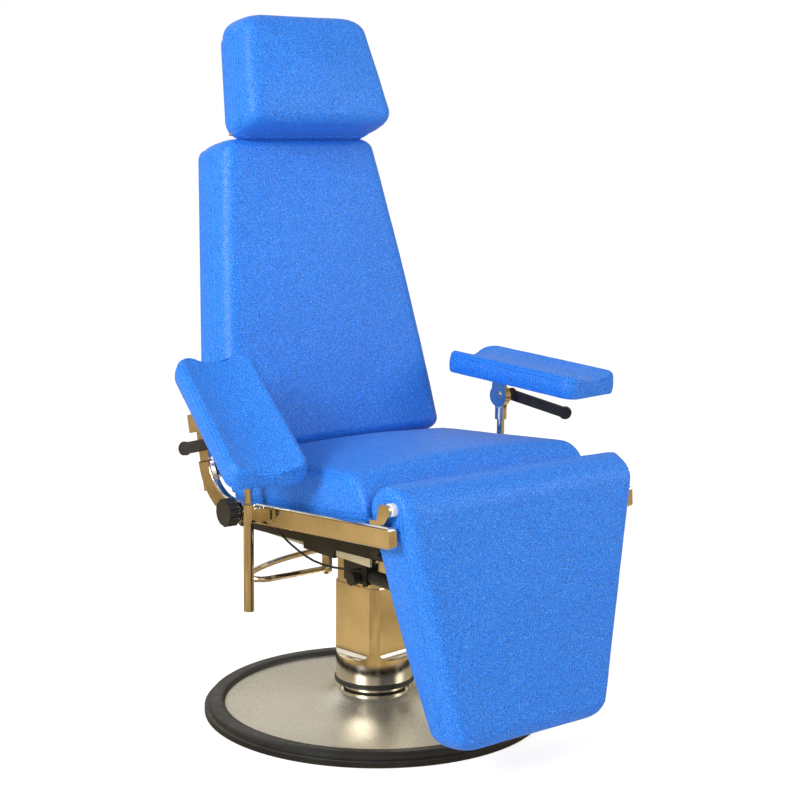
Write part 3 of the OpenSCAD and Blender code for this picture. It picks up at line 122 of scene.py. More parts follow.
def section(width, low, high, r_front, r_rear, crown, station, pocket=0.0):
    """Closed outline of a cushion at one station.

    It takes the half width, the rear and the front face, the two corner radii, the crown of the front
    face and the depth of a pocket behind. Every outline has the same number of points.
    """
    belly = bpy.context.scene.chair_cover.belly / MM
    half_steps = 8
    face = []
    for i in range(1, 2 * half_steps):
        u = 1 - i / half_steps
        face.append((u * (width - r_front), high + crown * (1 - u * u)))
    flank = []
    middle = (low + r_rear + high - r_front) / 2
    reach = (high - r_front - low - r_rear) / 2
    for t in (-0.6, -0.2, 0.2, 0.6):
        flank.append((width + belly * (1 - t * t), middle + reach * t))
    edge, lip = 3, 2
    brim = width - r_rear - edge
    floor = low + pocket
    rear = [(-brim, low), (-brim, low + pocket / 2), (-brim, floor), (-brim + lip, floor)]
    rear += [(u * brim, floor) for u in (-0.7, -0.35, 0, 0.35, 0.7)]
    rear += [(brim - lip, floor), (brim, floor), (brim, low + pocket / 2), (brim, low)]
    outline = arc((width - r_rear, low + r_rear), r_rear, -90, 0, 4) + flank
    outline += arc((width - r_front, high - r_front), r_front, 0, 90, 8)
    outline += face
    outline += arc((r_front - width, high - r_front), r_front, 90, 180, 8)
    outline += [(-x, d) for x, d in reversed(flank)]
    outline += arc((r_rear - width, low + r_rear), r_rear, 180, 270, 4)
    outline += rear
    return [(x, d, station) for x, d in outline]


def end_rows(row, way):
    """Rings that close an end with a soft bulge; way is -1 or 1 along the stations."""
    belly = bpy.context.scene.chair_cover.belly / MM
    count = len(row)
    mid_x = sum(p[0] for p in row) / count
    mid_d = sum(p[1] for p in row) / count
    rings = []
    for share in (0.9, 0.72, 0.5, 0.26):
        bulge = way * belly * (1 - share * share)
        ring = [(mid_x + (x - mid_x) * share, mid_d + (d - mid_d) * share, s + bulge) for x, d, s in row]
        rings.append(ring)
    return rings


def turns(count=8):
    """Angles of a rounded end, from the end face inwards."""
    return [90.0 * i / count for i in range(count + 1)]


def rounding(radius, angle):
    """Distance from the end face and pull inwards at an angle of a rounded end."""
    a = math.radians(angle)
    return radius * (1 - math.cos(a)), radius * (1 - math.sin(a))


def back_width(s):
    """Half width of the back cushion at a station."""
    return BACK_HALF - BACK_TAPER * s / BACK_LONG + BACK_BULGE * math.sin(math.pi * s / BACK_LONG)


def back_sections():
    """Outlines of the back cushion from its foot to its top."""
    low, high = BACK_BOARD + GAP, BACK_FRONT
    radii = (34, 14)
    foot_round, top_round, crown, steps = 26, 24, 10, 14
    rows = []
    for angle in turns():
        c, d = rounding(foot_round, angle)
        rows.append(section(back_width(c) - d, low + d / 3, high - d, *radii, 0, c))
    for i in range(1, steps):
        s = foot_round + (BACK_LONG - 2 * foot_round) * i / steps
        rows.append(section(back_width(s), low, high, *radii, crown * math.sin(math.pi * i / steps), s))
    for angle in reversed(turns()):
        c, d = rounding(top_round, angle)
        s = BACK_LONG + 1 - c
        rows.append(section(back_width(s) - d, low + d / 3, high - 0.8 * d, *radii, 0, s))
    return rows


def head_width(s):
    """Half width of the head cushion at a station."""
    return HEAD_HALF - HEAD_TAPER * s / HEAD_LONG


def head_sections():
    """Outlines of the head cushion from its foot to its top, whose rear edge stands higher."""
    low, high = HEAD_BOARD + GAP, HEAD_FRONT
    foot, top = 6, HEAD_LONG + 4
    radii = (30, 10)
    end_round, crown, steps = 33, 12, 8
    rows = []
    for angle in turns():
        c, d = rounding(end_round, angle)
        rows.append(section(head_width(c) - d, low + d / 4, high - 0.8 * d, *radii, 0, foot + c))
    for i in range(1, steps):
        s = foot + end_round + (top - foot - 2 * end_round) * i / steps
        rows.append(section(head_width(s), low, high, *radii, crown * math.sin(math.pi * i / steps), s))
    for angle in reversed(turns()):
        c, d = rounding(end_round, angle)
        rows.append(section(head_width(top - c) - d, low + d / 4, high - 0.7 * d, *radii, 0, top - c))
    lift, lift_from = 13, 130

    def raise_rear(x, d, s):
        share = min(1.0, max(0.0, (s - lift_from) / (top - lift_from)))
        return x, d, s + lift * share * share * (high - d) / (high - low)

    return [[raise_rear(*p) for p in row] for row in rows]


def seat_sections():
    """Outlines of the seat cushion from its rear to its rolled front."""
    low, high = SEAT_BOARD + GAP, SEAT_TOP
    r_top, r_base = 18, 4
    rear_round, nose_round, nose_pull, crown = 16, 60, 9, 19
    middle, half = (SEAT_REAR + SEAT_NOSE) / 2, (SEAT_NOSE - SEAT_REAR) / 2
    start, flat = SEAT_REAR + rear_round, SEAT_NOSE - nose_round - SEAT_REAR - rear_round

    def swell(s):
        return crown * (1 - abs((s - middle) / half) ** 5)

    rows = []
    for angle in turns(5):
        c, d = rounding(rear_round, angle)
        s = c + SEAT_REAR
        rows.append(section(SEAT_HALF - d / 2, low, high - d, r_top, r_base, swell(s), s))
    for i in range(1, 12):
        s = start + flat * i / 12
        rows.append(section(SEAT_HALF, low, high, r_top, r_base, swell(s), s))
    for angle in reversed(turns(12)):
        c, d = rounding(nose_round, angle)
        s, h = SEAT_NOSE - c, high - d
        width = SEAT_HALF - rounding(nose_pull, angle)[1]
        front, rear = min(r_top, (h - low) * 0.45), min(r_base, (h - low) * 0.3)
        rows.append(section(width, low, h, front, rear, max(0, swell(s)), s))
    return rows


def leg_width(s):
    """Half width of the leg cushion at a station, which is negative below the hinge."""
    return LEG_HALF - LEG_TAPER * max(0, -s) / LEG_LONG


def leg_rear(s):
    """Depth of the leg cushion behind its hinge: a wedge that is thickest below the knee."""
    return LEG_THIN + LEG_SWELL * (1 - ((-s - LEG_BOARD_TOP) / (LEG_LONG - LEG_BOARD_TOP)) ** 2)


def leg_sections():
    """Outlines of the leg cushion from its foot up and round the roll at the knee."""
    high = LEG_FRONT
    radii = (22, 12)
    foot_round, foot_end, crown, steps = 32, 453, 4, 12
    rows = []
    for angle in turns(6):
        c, d = rounding(foot_round, angle)
        s = c - foot_end
        rear = d / 6 - leg_rear(max(-LEG_LONG, s))
        rows.append(section(leg_width(s) - d, rear, high - 0.6 * d, *radii, 0, s))
    floor, below = -LEG_SIDE, -LEG_SIDE - 4
    rows.append(section(leg_width(below), -leg_rear(below), high, *radii, 0, floor - 1.5))
    rows.append(section(leg_width(floor), -leg_rear(floor), high, *radii, 0, floor - 0.5, LEG_POCKET))
    pocket_long = LEG_SIDE - LEG_BOARD_TOP - 2
    for i in range(steps + 1):
        s = floor + pocket_long * i / steps
        swell = crown * math.sin(math.pi * i / (steps + 1))
        rows.append(section(leg_width(s), -leg_rear(s), high, *radii, swell, s, LEG_POCKET))
    edge = -LEG_BOARD_TOP
    rows.append(section(leg_width(edge), -leg_rear(edge), high, *radii, 1, edge))
    roll, behind, below = 55, 15, 15.5
    for a in (-10, -3, 5, 13, 21, 29, 37, 45, 53, 61, 69, 77, 83):
        s = roll * math.sin(math.radians(a)) - below
        c = roll * math.cos(math.radians(a))
        front = high if a < 5 else c - behind
        width = leg_width(s) - max(0, a - 35) / 10
        rows.append(section(width, -c - behind, front, min(22, c * 0.8), min(12, c * 0.8), 0, s))
    return rows


def arm_sections(ahead):
    """Outlines of an arm pad from its rear to its front; ahead is its middle before the clamp."""
    corner, drop = 24, 7
    radii = (12, 4)
    start = ahead - PAD_LONG / 2
    rows = []
    for angle in turns():
        c, d = rounding(corner, angle)
        top = PAD_TOP - rounding(drop, angle)[1]
        rows.append(section(PAD_HALF - d, PAD_BASE, top, *radii, PAD_DIP, start + c))
    for i in range(1, 10):
        s = start + corner + (PAD_LONG - 2 * corner) * i / 10
        rows.append(section(PAD_HALF, PAD_BASE, PAD_TOP, *radii, PAD_DIP, s))
    for angle in reversed(turns()):
        c, d = rounding(corner, angle)
        top = PAD_TOP - rounding(drop, angle)[1]
        rows.append(section(PAD_HALF - d, PAD_BASE, top, *radii, PAD_DIP, start + PAD_LONG - c))
    return rows


def cushion_mesh(name, rows, place):
    """Closed mesh through the outlines; place turns a section point into metres in the chair's frame."""
    mesh = bpy.data.meshes.new(name)
    rows = list(reversed(end_rows(rows[0], -1))) + rows + end_rows(rows[-1], 1)
    count = len(rows[0])
    points = [place(p) for row in rows for p in row]
    faces = []
    for k in range(len(rows) - 1):
        for i in range(count):
            j = (i + 1) % count
            faces.append((k * count + i, k * count + j, (k + 1) * count + j, (k + 1) * count + i))
    faces.append(tuple(reversed(range(count))))
    faces.append(tuple((len(rows) - 1) * count + i for i in range(count)))
    mesh.from_pydata(points, [], faces)
    cushion = bpy.data.objects.new(name, mesh)
    bpy.context.scene.collection.objects.link(cushion)
    face_out(cushion)
    return cushion


def face_out(piece):
    """Turns the faces of a closed mesh outwards."""
    form = bmesh.new()
    form.from_mesh(piece.data)
    bmesh.ops.recalc_face_normals(form, faces=form.faces)
    form.to_mesh(piece.data)
    form.free()


def pick(piece):
    """Makes one piece the only selected and the active one."""
    bpy.ops.object.select_all(action="DESELECT")
    piece.select_set(True)
    bpy.context.view_layer.objects.active = piece


def fill_with_foam(cushion):
    """Refines the cover and gives it the slight unevenness of vinyl drawn over foam."""
    pick(cushion)
    fine = cushion.modifiers.new("Fine", "SUBSURF")
    fine.levels = fine.render_levels = 2
    bpy.ops.object.modifier_apply(modifier=fine.name)
    bpy.ops.object.shade_smooth()
    height = bpy.context.scene.chair_cover.slack
    broad, small = 11.0, 23.0  # waves to the metre
    places = [(v.co.copy(), v.normal.copy()) for v in cushion.data.vertices]
    flat = []
    for co, normal in places:
        wave = noise.noise(co * broad) + 0.5 * noise.noise(co * small)
        flat.extend(co + normal * height * wave)
    cushion.data.vertices.foreach_set("co", flat)
    cushion.data.update()


def rounded_outline(corners, grow, radius, steps=6):
    """Points and outward directions of an anticlockwise convex outline, grown and with round corners."""
    out = []
    for i, corner in enumerate(corners):
        before, here = Vector(corners[i - 1]), Vector(corner)
        after = Vector(corners[(i + 1) % len(corners)])
        u, v = (here - before).normalized(), (after - here).normalized()
        m, n = Vector((u.y, -u.x)), Vector((v.y, -v.x))
        k = grow - radius
        turn = m.x * n.y - m.y * n.x
        centre = here + Vector((k * (n.y - m.y) / turn, k * (m.x - n.x) / turn))
        start, end = math.atan2(m.y, m.x), math.atan2(n.y, n.x)
        if end < start:
            end += math.tau
        for j in range(steps + 1):
            a = start + (end - start) * j / steps
            way = Vector((math.cos(a), math.sin(a)))
            out.append((centre + way * radius, way))
    return out


def wrap_board(name, corners, radius, front, thick, fold, place, body):
    """Cover drawn round a board's edge and folded in behind it.

    The corners are (x, station) points of the board, front is its front face and fold is the width of
    the hem behind it.
    """
    grow, tuck, play = 10.0, 14.0, 0.2  # foam past the board, reach into the foam, air at the board's edge
    inner, hem = play - grow, -grow - fold
    profile = (
        (0.0, -tuck), (0.0, thick - 5.0), (-1.4, thick - 1.4), (-5.0, thick + 0.9), (hem, thick + 0.9),
        (hem, thick + 0.1), (inner, thick + 0.1), (inner, 0.4), (-7.0, -tuck),
    )
    form = bmesh.new()
    rings = []
    for point, way in rounded_outline(corners, grow, radius):
        ring = []
        for u, d in profile:
            q = point + way * u
            ring.append(form.verts.new(place((q.x, front - d, q.y))))
        rings.append(ring)
    for i, ring in enumerate(rings):
        other = rings[(i + 1) % len(rings)]
        for k in range(len(profile)):
            j = (k + 1) % len(profile)
            form.faces.new((ring[k], ring[j], other[j], other[k]))
    bmesh.ops.recalc_face_normals(form, faces=form.faces)
    mesh = bpy.data.meshes.new(name)
    form.to_mesh(mesh)
    form.free()
    piece = bpy.data.objects.new(name, mesh)
    bpy.context.scene.collection.objects.link(piece)
    mesh.materials.append(vinyl())
    pick(piece)
    bpy.ops.object.shade_smooth_by_angle(angle=math.radians(50))
    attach(piece, body)


# ---------------------------------------------------------------- seams


def even_row(points, step):
    """The same row of points at an even spacing."""
    out, carry = [points[0]], 0.0
    for a, b in zip(points, points[1:]):
        length = (b - a).length
        at = step - carry
        while at <= length:
            out.append(a.lerp(b, at / length))
            at += step
        carry = (carry + length) % step
    return out


def lay_on(cushion, points, step):
    """Points and normals of a row laid on the cushion's cover."""
    tree = BVHTree.FromObject(cushion, bpy.context.evaluated_depsgraph_get())
    found = []
    for p in even_row(points, step):
        place, normal, _, _ = tree.find_nearest(p)
        if place is not None:
            found.append((place, normal))
    return found


def seam_fold(form, row, closed):
    """Folded seam: two low ridges with a groove between them."""
    ridge = ((-2.2, -0.5), (-1.3, 0.25), (-0.7, 0.45), (-0.15, -0.1))
    profile = (*ridge, *((-u, v) for u, v in reversed(ridge)))
    count = len(row)
    rings = []
    for i, (place, normal) in enumerate(row):
        ahead = row[(i + 1) % count][0] if closed or i + 1 < count else place
        behind = row[i - 1][0] if closed or i else place
        along = (ahead - behind).normalized()
        side = along.cross(normal).normalized()
        rings.append([form.verts.new(place + (side * u + normal * v) * MM) for u, v in profile])
    spans = range(count if closed else count - 1)
    for i in spans:
        a, b = rings[i], rings[(i + 1) % count]
        for k in range(len(profile) - 1):
            form.faces.new((a[k], a[k + 1], b[k + 1], b[k]))
        form.faces.new((a[-1], a[0], b[0], b[-1]))
    if not closed:
        form.faces.new(rings[0])
        form.faces.new(list(reversed(rings[-1])))


def stitch_row(form, row, offset, closed):
    """Small rounded stitches beside a seam, one at every second point of its row."""
    long, thick, lift = 2.0 * MM, 0.45 * MM, 0.15
    sides = 6
    count = len(row)
    for i in range(0, count - (0 if closed else 1), 2):
        place, normal = row[i]
        along = (row[(i + 1) % count][0] - place).normalized()
        side = along.cross(normal).normalized()
        middle = place + side * offset * MM + normal * lift * MM
        ends = []
        for u, scale in ((-1.0, 0.5), (-0.6, 1.0), (0.6, 1.0), (1.0, 0.5)):
            ring = []
            for k in range(sides):
                a = math.tau * k / sides
                out = side * math.cos(a) + normal * math.sin(a)
                ring.append(form.verts.new(middle + along * u * long + out * thick * scale))
            ends.append(ring)
        for a, b in zip(ends, ends[1:]):
            for k in range(sides):
                j = (k + 1) % sides
                form.faces.new((a[k], a[j], b[j], b[k]))
        form.faces.new(list(reversed(ends[0])))
        form.faces.new(ends[-1])


def sew(name, cushion, seams, body, closed=False):
    """Folded seams and their stitches on a cushion, as two pieces on the same body."""
    pitch, beside = 4.0 * MM, 3.2  # spacing of the seam's points, and of each row of stitches from the seam
    folds, threads = bmesh.new(), bmesh.new()
    for points in seams:
        row = lay_on(cushion, points, pitch)
        if len(row) < 4:
            raise RuntimeError(f"the seam of {name} is too short")
        seam_fold(folds, row, closed)
        for offset in (-beside, beside):
            stitch_row(threads, row, offset, closed)
    # The seam folds take the paler vinyl, which is a painted highlight
    for form, label, material in ((folds, "seams", vinyl_fold_highlight()), (threads, "stitching", thread_finish())):
        bmesh.ops.recalc_face_normals(form, faces=form.faces)
        mesh = bpy.data.meshes.new(f"{name}_{label}")
        form.to_mesh(mesh)
        form.free()
        piece = bpy.data.objects.new(f"{name}_{label}", mesh)
        bpy.context.scene.collection.objects.link(piece)
        mesh.materials.append(material)
        for polygon in mesh.polygons:
            polygon.use_smooth = True
        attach(piece, body)


# ---------------------------------------------------------------- finishes


def new_finish(name):
    """Empty node material with a Principled shader and Object coordinates."""
    material = bpy.data.materials.new(name)
    material.use_nodes = True
    tree = material.node_tree
    tree.nodes.clear()
    out = tree.nodes.new("ShaderNodeOutputMaterial")
    shader = tree.nodes.new("ShaderNodeBsdfPrincipled")
    tree.links.new(shader.outputs["BSDF"], out.inputs["Surface"])
    place = tree.nodes.new("ShaderNodeTexCoord")
    return material, tree, shader, place.outputs["Object"]


def grain(tree, coordinates, scale, detail=2.0, rough=0.5):
    """Noise of so many cells to the metre."""
    cells = tree.nodes.new("ShaderNodeTexNoise")
    cells.inputs["Scale"].default_value = scale
    cells.inputs["Detail"].default_value = detail
    cells.inputs["Roughness"].default_value = rough
    tree.links.new(coordinates, cells.inputs["Vector"])
    return cells.outputs["Fac"]


def ramp(tree, value, stops):
    """Colour ramp through (position, colour) stops."""
    node = tree.nodes.new("ShaderNodeValToRGB")
    marks = node.color_ramp.elements
    while len(marks) < len(stops):
        marks.new(0.5)
    for mark, (position, colour) in zip(marks, stops):
        mark.position = position
        mark.color = (*colour, 1.0)
    tree.links.new(value, node.inputs["Fac"])
    return node.outputs["Color"]


def blend(tree, mode, amount, a, b):
    """Mixes two colours by a fixed amount."""
    node = tree.nodes.new("ShaderNodeMix")
    node.data_type, node.blend_type = "RGBA", mode
    share, first, second, result = node.inputs[0], node.inputs[6], node.inputs[7], node.outputs[2]
    share.default_value = amount
    tree.links.new(a, first)
    tree.links.new(b, second)
    return result


def relief(tree, shader, heights):
    """Bumps one after the other: (height socket, strength, distance in metres)."""
    last = None
    for height, strength, distance in heights:
        bump = tree.nodes.new("ShaderNodeBump")
        bump.inputs["Strength"].default_value = strength
        bump.inputs["Distance"].default_value = distance
        tree.links.new(height, bump.inputs["Height"])
        if last is not None:
            tree.links.new(last, bump.inputs["Normal"])
        last = bump.outputs["Normal"]
    tree.links.new(last, shader.inputs["Normal"])


def spread(tree, value, low, high):
    """Maps the middle part of a noise value to a range."""
    node = tree.nodes.new("ShaderNodeMapRange")
    node.inputs["From Min"].default_value = 0.3
    node.inputs["From Max"].default_value = 0.7
    node.inputs["To Min"].default_value = low
    node.inputs["To Max"].default_value = high
    tree.links.new(value, node.inputs["Value"])
    return node.outputs["Result"]


def finish_once(name, maker):
    """Reuses a finish that is there already."""
    return bpy.data.materials.get(name) or maker(name)


def tone(colour, factor):
    """The colour made darker or lighter."""
    return tuple(min(1.0, c * factor) for c in colour)


def vinyl():
    """Mottled blue upholstery vinyl with a soft sheen."""

    def make(name):
        colour = tuple(bpy.context.scene.chair_cover.colour)
        material, tree, shader, place = new_finish(name)
        dark, light = tone(colour, 0.42), tone(colour, 1.8)
        fine = grain(tree, place, 360.0, 1.5, 0.6)
        specks = grain(tree, place, 620.0, 0.5, 0.5)
        cloud = grain(tree, place, 9.0, 2.0, 0.5)
        base = ramp(tree, fine, ((0.34, dark), (0.5, colour), (0.68, light)))
        pale = (0.24, 0.50, 0.97)
        deep = tone(colour, 0.4)
        spots = ramp(tree, specks, ((0.30, deep), (0.42, colour), (0.58, colour), (0.70, pale)))
        mixed = blend(tree, "MIX", 0.45, base, spots)
        shade = ramp(tree, cloud, ((0.3, (0.90, 0.92, 0.95)), (0.7, (1.0, 1.0, 1.0))))
        tree.links.new(blend(tree, "MULTIPLY", 0.6, mixed, shade), shader.inputs["Base Color"])
        shader.inputs["Sheen Weight"].default_value = 0.05
        shader.inputs["Sheen Roughness"].default_value = 0.5
        shader.inputs["Specular IOR Level"].default_value = 0.34
        tree.links.new(spread(tree, grain(tree, place, 60.0, 3.0), 0.44, 0.56), shader.inputs["Roughness"])
        waves, pores = grain(tree, place, 14.0, 2.0), grain(tree, place, 900.0, 2.0, 0.6)
        relief(tree, shader, ((waves, 0.25, 0.002), (pores, 0.28, 0.0005)))
        return material

    return finish_once("blue vinyl", make)


def vinyl_fold_highlight():
    """The same vinyl where it is folded at a seam, a little paler: a painted highlight along the seam."""

    def make(name):
        colour = tuple(bpy.context.scene.chair_cover.colour)
        material, tree, shader, place = new_finish(name)
        fine = grain(tree, place, 500.0, 2.0, 0.6)
        # Paler ramp than the cover: painted highlight along the seam's ridges
        base = ramp(tree, fine, ((0.35, tone(colour, 0.85)), (0.65, tone(colour, 1.7))))
        tree.links.new(base, shader.inputs["Base Color"])
        tree.links.new(spread(tree, grain(tree, place, 80.0, 2.0), 0.40, 0.52), shader.inputs["Roughness"])
        relief(tree, shader, ((grain(tree, place, 900.0, 2.0, 0.6), 0.25, 0.0004),))
        return material

    return finish_once("blue vinyl fold", make)


def thread_finish():
    """Dark blue sewing thread with a fine twist."""

    def make(name):
        colour = tuple(bpy.context.scene.chair_cover.colour)
        material, tree, shader, place = new_finish(name)
        twist = grain(tree, place, 2500.0, 1.0)
        base = ramp(tree, twist, ((0.3, tone(colour, 0.35)), (0.7, tone(colour, 0.75))))
        tree.links.new(base, shader.inputs["Base Color"])
        shader.inputs["Roughness"].default_value = 0.6
        return material

    return finish_once("blue thread", make)


def polished_steel():
    """Mirror-polished steel with faint hairlines, its colour tinted warm as a painted reflection of warm
    surroundings.
    """

    def make(name):
        material, tree, shader, place = new_finish(name)
        # The warm steel colour is a painted reflection of warm surroundings, not the metal's own tint
        colour = tuple(bpy.context.scene.chair_metal.colour)
        film = grain(tree, place, 12.0, 3.0)
        base = ramp(tree, film, ((0.3, tone(colour, 0.86)), (0.7, tone(colour, 1.08))))
        tree.links.new(base, shader.inputs["Base Color"])
        shader.inputs["Metallic"].default_value = 1.0
        smear = grain(tree, place, 90.0, 4.0, 0.6)
        tree.links.new(spread(tree, smear, 0.05, 0.13), shader.inputs["Roughness"])
        relief(tree, shader, ((grain(tree, place, 35.0, 2.0), 0.04, 0.001),))
        return material

    return finish_once("polished steel", make)


def satin_steel():
    """Plain satin steel for frames and tubes."""

    def make(name):
        material, tree, shader, place = new_finish(name)
        film = grain(tree, place, 30.0, 3.0)
        base = ramp(tree, film, ((0.3, (0.42, 0.39, 0.33)), (0.7, (0.58, 0.55, 0.48))))
        tree.links.new(base, shader.inputs["Base Color"])
        shader.inputs["Metallic"].default_value = 1.0
        tree.links.new(spread(tree, grain(tree, place, 200.0, 3.0), 0.30, 0.42), shader.inputs["Roughness"])
        relief(tree, shader, ((grain(tree, place, 600.0, 2.0), 0.12, 0.0004),))
        return material

    return finish_once("satin steel", make)


def blasted_steel():
    """Fine blasted steel of the base plate, which glitters in small points."""

    def make(name):
        material, tree, shader, place = new_finish(name)
        grit = grain(tree, place, 700.0, 2.0, 0.7)
        film = grain(tree, place, 5.0, 3.0)
        dull, middle, bright = (0.52, 0.49, 0.41), (0.76, 0.72, 0.62), (1.0, 0.96, 0.86)
        sand = ramp(tree, grit, ((0.32, dull), (0.5, middle), (0.72, bright)))
        wash = ramp(tree, film, ((0.3, (0.84, 0.84, 0.82)), (0.7, (1.0, 1.0, 0.98))))
        tree.links.new(blend(tree, "MULTIPLY", 0.8, sand, wash), shader.inputs["Base Color"])
        shader.inputs["Metallic"].default_value = 0.85
        tree.links.new(spread(tree, grit, 0.22, 0.42), shader.inputs["Roughness"])
        relief(tree, shader, ((grit, 0.5, 0.0008), (grain(tree, place, 260.0, 2.0), 0.25, 0.001)))
        return material

    return finish_once("blasted steel", make)


def dark_finish(name, colour, rough, scale, strength):
    """Black rubber, plastic or paint, told apart by its grain and gloss."""

    def make(label):
        material, tree, shader, place = new_finish(label)
        wear = grain(tree, place, 18.0, 4.0)
        base = ramp(tree, wear, ((0.3, tone(colour, 0.7)), (0.7, tone(colour, 1.5))))
        tree.links.new(base, shader.inputs["Base Color"])
        rub = grain(tree, place, 70.0, 3.0)
        tree.links.new(spread(tree, rub, rough - 0.08, rough + 0.08), shader.inputs["Roughness"])
        relief(tree, shader, ((grain(tree, place, scale, 3.0, 0.6), strength, 0.0005),))
        return material

    return finish_once(name, make)


def rubber():
    """Black rubber of the rim and the seal."""
    return dark_finish("black rubber", (0.016, 0.016, 0.015), 0.42, 500.0, 0.18)


def black_plastic():
    """Moulded black plastic of knobs, levers and covers."""
    return dark_finish("black plastic", (0.018, 0.017, 0.015), 0.38, 1200.0, 0.25)


def black_paint():
    """Gloss black paint on steel."""
    return dark_finish("black paint", (0.014, 0.014, 0.013), 0.33, 250.0, 0.10)


def cream_paint():
    """Cream paint of the seat carrier."""

    def make(name):
        material, tree, shader, place = new_finish(name)
        wear = grain(tree, place, 14.0, 4.0)
        base = ramp(tree, wear, ((0.3, (0.50, 0.42, 0.24)), (0.7, (0.66, 0.57, 0.36))))
        tree.links.new(base, shader.inputs["Base Color"])
        tree.links.new(spread(tree, grain(tree, place, 70.0, 3.0), 0.28, 0.42), shader.inputs["Roughness"])
        relief(tree, shader, ((grain(tree, place, 320.0, 3.0), 0.12, 0.0005),))
        return material

    return finish_once("cream paint", make)


def white_nylon():
    """Slightly translucent white nylon."""

    def make(name):
        material, tree, shader, place = new_finish(name)
        tint = grain(tree, place, 25.0, 3.0)
        base = ramp(tree, tint, ((0.3, (0.74, 0.75, 0.74)), (0.7, (0.86, 0.87, 0.86))))
        tree.links.new(base, shader.inputs["Base Color"])
        shader.inputs["Subsurface Weight"].default_value = 0.1
        shader.inputs["Subsurface Scale"].default_value = 0.004
        shader.inputs["Roughness"].default_value = 0.38
        relief(tree, shader, ((grain(tree, place, 900.0, 2.0), 0.1, 0.0004),))
        return material

    return finish_once("white nylon", make)


def plywood():
    """Sealed plywood with its grain along X."""

    def make(name):
        material, tree, shader, place = new_finish(name)
        stretch = tree.nodes.new("ShaderNodeMapping")
        stretch.inputs["Scale"].default_value = (0.12, 1.0, 1.0)
        tree.links.new(place, stretch.inputs["Vector"])
        lines = grain(tree, stretch.outputs["Vector"], 130.0, 5.0, 0.65)
        dark, middle, light = (0.22, 0.13, 0.06), (0.40, 0.26, 0.13), (0.52, 0.37, 0.20)
        base = ramp(tree, lines, ((0.3, dark), (0.5, middle), (0.7, light)))
        tree.links.new(base, shader.inputs["Base Color"])
        tree.links.new(spread(tree, lines, 0.45, 0.62), shader.inputs["Roughness"])
        relief(tree, shader, ((lines, 0.2, 0.0006),))
        return material

    return finish_once("plywood", make)


FINISHES = {
    polished_steel: (
        "base_collar", "column_shroud", "inner_column", "lift_rod", "rail_left", "rail_right",
        "leg_hinge_lugs", "arm_brackets", "arm_tubes", "hoop_brackets", "lift_hoop", "back_side_plates",
        "headrest_rod", "gas_spring_rod", "arm_rod_left", "arm_rod_right", "arm_head_left",
        "arm_head_right", "pad_clamp_left", "pad_clamp_right",
    ),
    satin_steel: ("base_ballast", "cross_tubes", "back_shaft", "back_frame"),
    blasted_steel: ("base_plate",),
    cream_paint: ("seat_carrier",),
    rubber: ("base_rim", "collar_seal"),
    black_plastic: (
        "rail_plugs", "release_head", "release_cap", "release_cable", "lever_mount", "recline_lever",
        "mechanism_cover", "back_washers", "headrest_bush", "clamp_lever_left", "clamp_lever_right",
        "star_knob_left", "star_knob_right", "legrest_board",
    ),
    black_paint: ("lift_cylinder", "gas_spring_body", "push_links", "legrest_frame", "headrest_bracket"),
    white_nylon: ("guide_bush", "swivel_bearing", "leg_hinge_bushes"),
    plywood: ("seat_board", "back_board", "headrest_board"),
}


# ---------------------------------------------------------------- settings


class CoverSettings(bpy.types.PropertyGroup):
    """Upholstery of the chair."""

    colour: FloatVectorProperty(
        name="Cover colour", description="Base colour of the vinyl", subtype="COLOR", size=3,
        min=0, max=1, default=(0.008, 0.178, 0.770),
    )
    belly: FloatProperty(
        name="Side belly", description="How far the foam pushes out the sides",
        subtype="DISTANCE", unit="LENGTH", default=0.0025, min=0.0, max=0.01,
    )
    slack: FloatProperty(
        name="Unevenness", description="Height of the cover's slight waves",
        subtype="DISTANCE", unit="LENGTH", default=0.0007, min=0.0, max=0.003,
    )


class MetalSettings(bpy.types.PropertyGroup):
    """Steelwork of the chair."""

    # The default warm tint is a painted reflection of warm surroundings
    colour: FloatVectorProperty(
        name="Steel tint with painted warm reflection", description="Reflection colour of the polished steel",
        subtype="COLOR", size=3, min=0, max=1, default=(0.86, 0.79, 0.66),
    )


class StudioSettings(bpy.types.PropertyGroup):
    """Light and camera."""

    key_power: FloatProperty(
        name="Key light", description="Power of the key light", unit="POWER", default=190.0
    )
    fill_power: FloatProperty(
        name="Fill light", description="Power of the fill light", unit="POWER", default=60.0
    )
    sky: FloatProperty(name="Room light", description="Strength of the light from all round", default=0.62)
    lens: FloatProperty(name="Lens", description="Focal length of the camera", unit="CAMERA", default=77.17)


# ---------------------------------------------------------------- pieces


def make_cushion(name, rows, place, body, node):
    """One filled cushion that stands for its CAD node."""
    cushion = cushion_mesh(name, rows, place)
    fill_with_foam(cushion)
    cushion.data.materials.append(vinyl())
    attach(cushion, body)
    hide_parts(node)
    return cushion


def upright_place(matrix, foot):
    """Section point to metres for a cushion that stands up: x, depth to the front and height."""
    return lambda p: matrix @ (Vector((-p[0], -p[1], p[2] + foot)) * MM)


def flat_place(matrix, out=0.0):
    """Section point to metres for a cushion that lies flat: x, height and reach to the front."""
    return lambda p: matrix @ (Vector((p[0] + out, -p[2], p[1])) * MM)


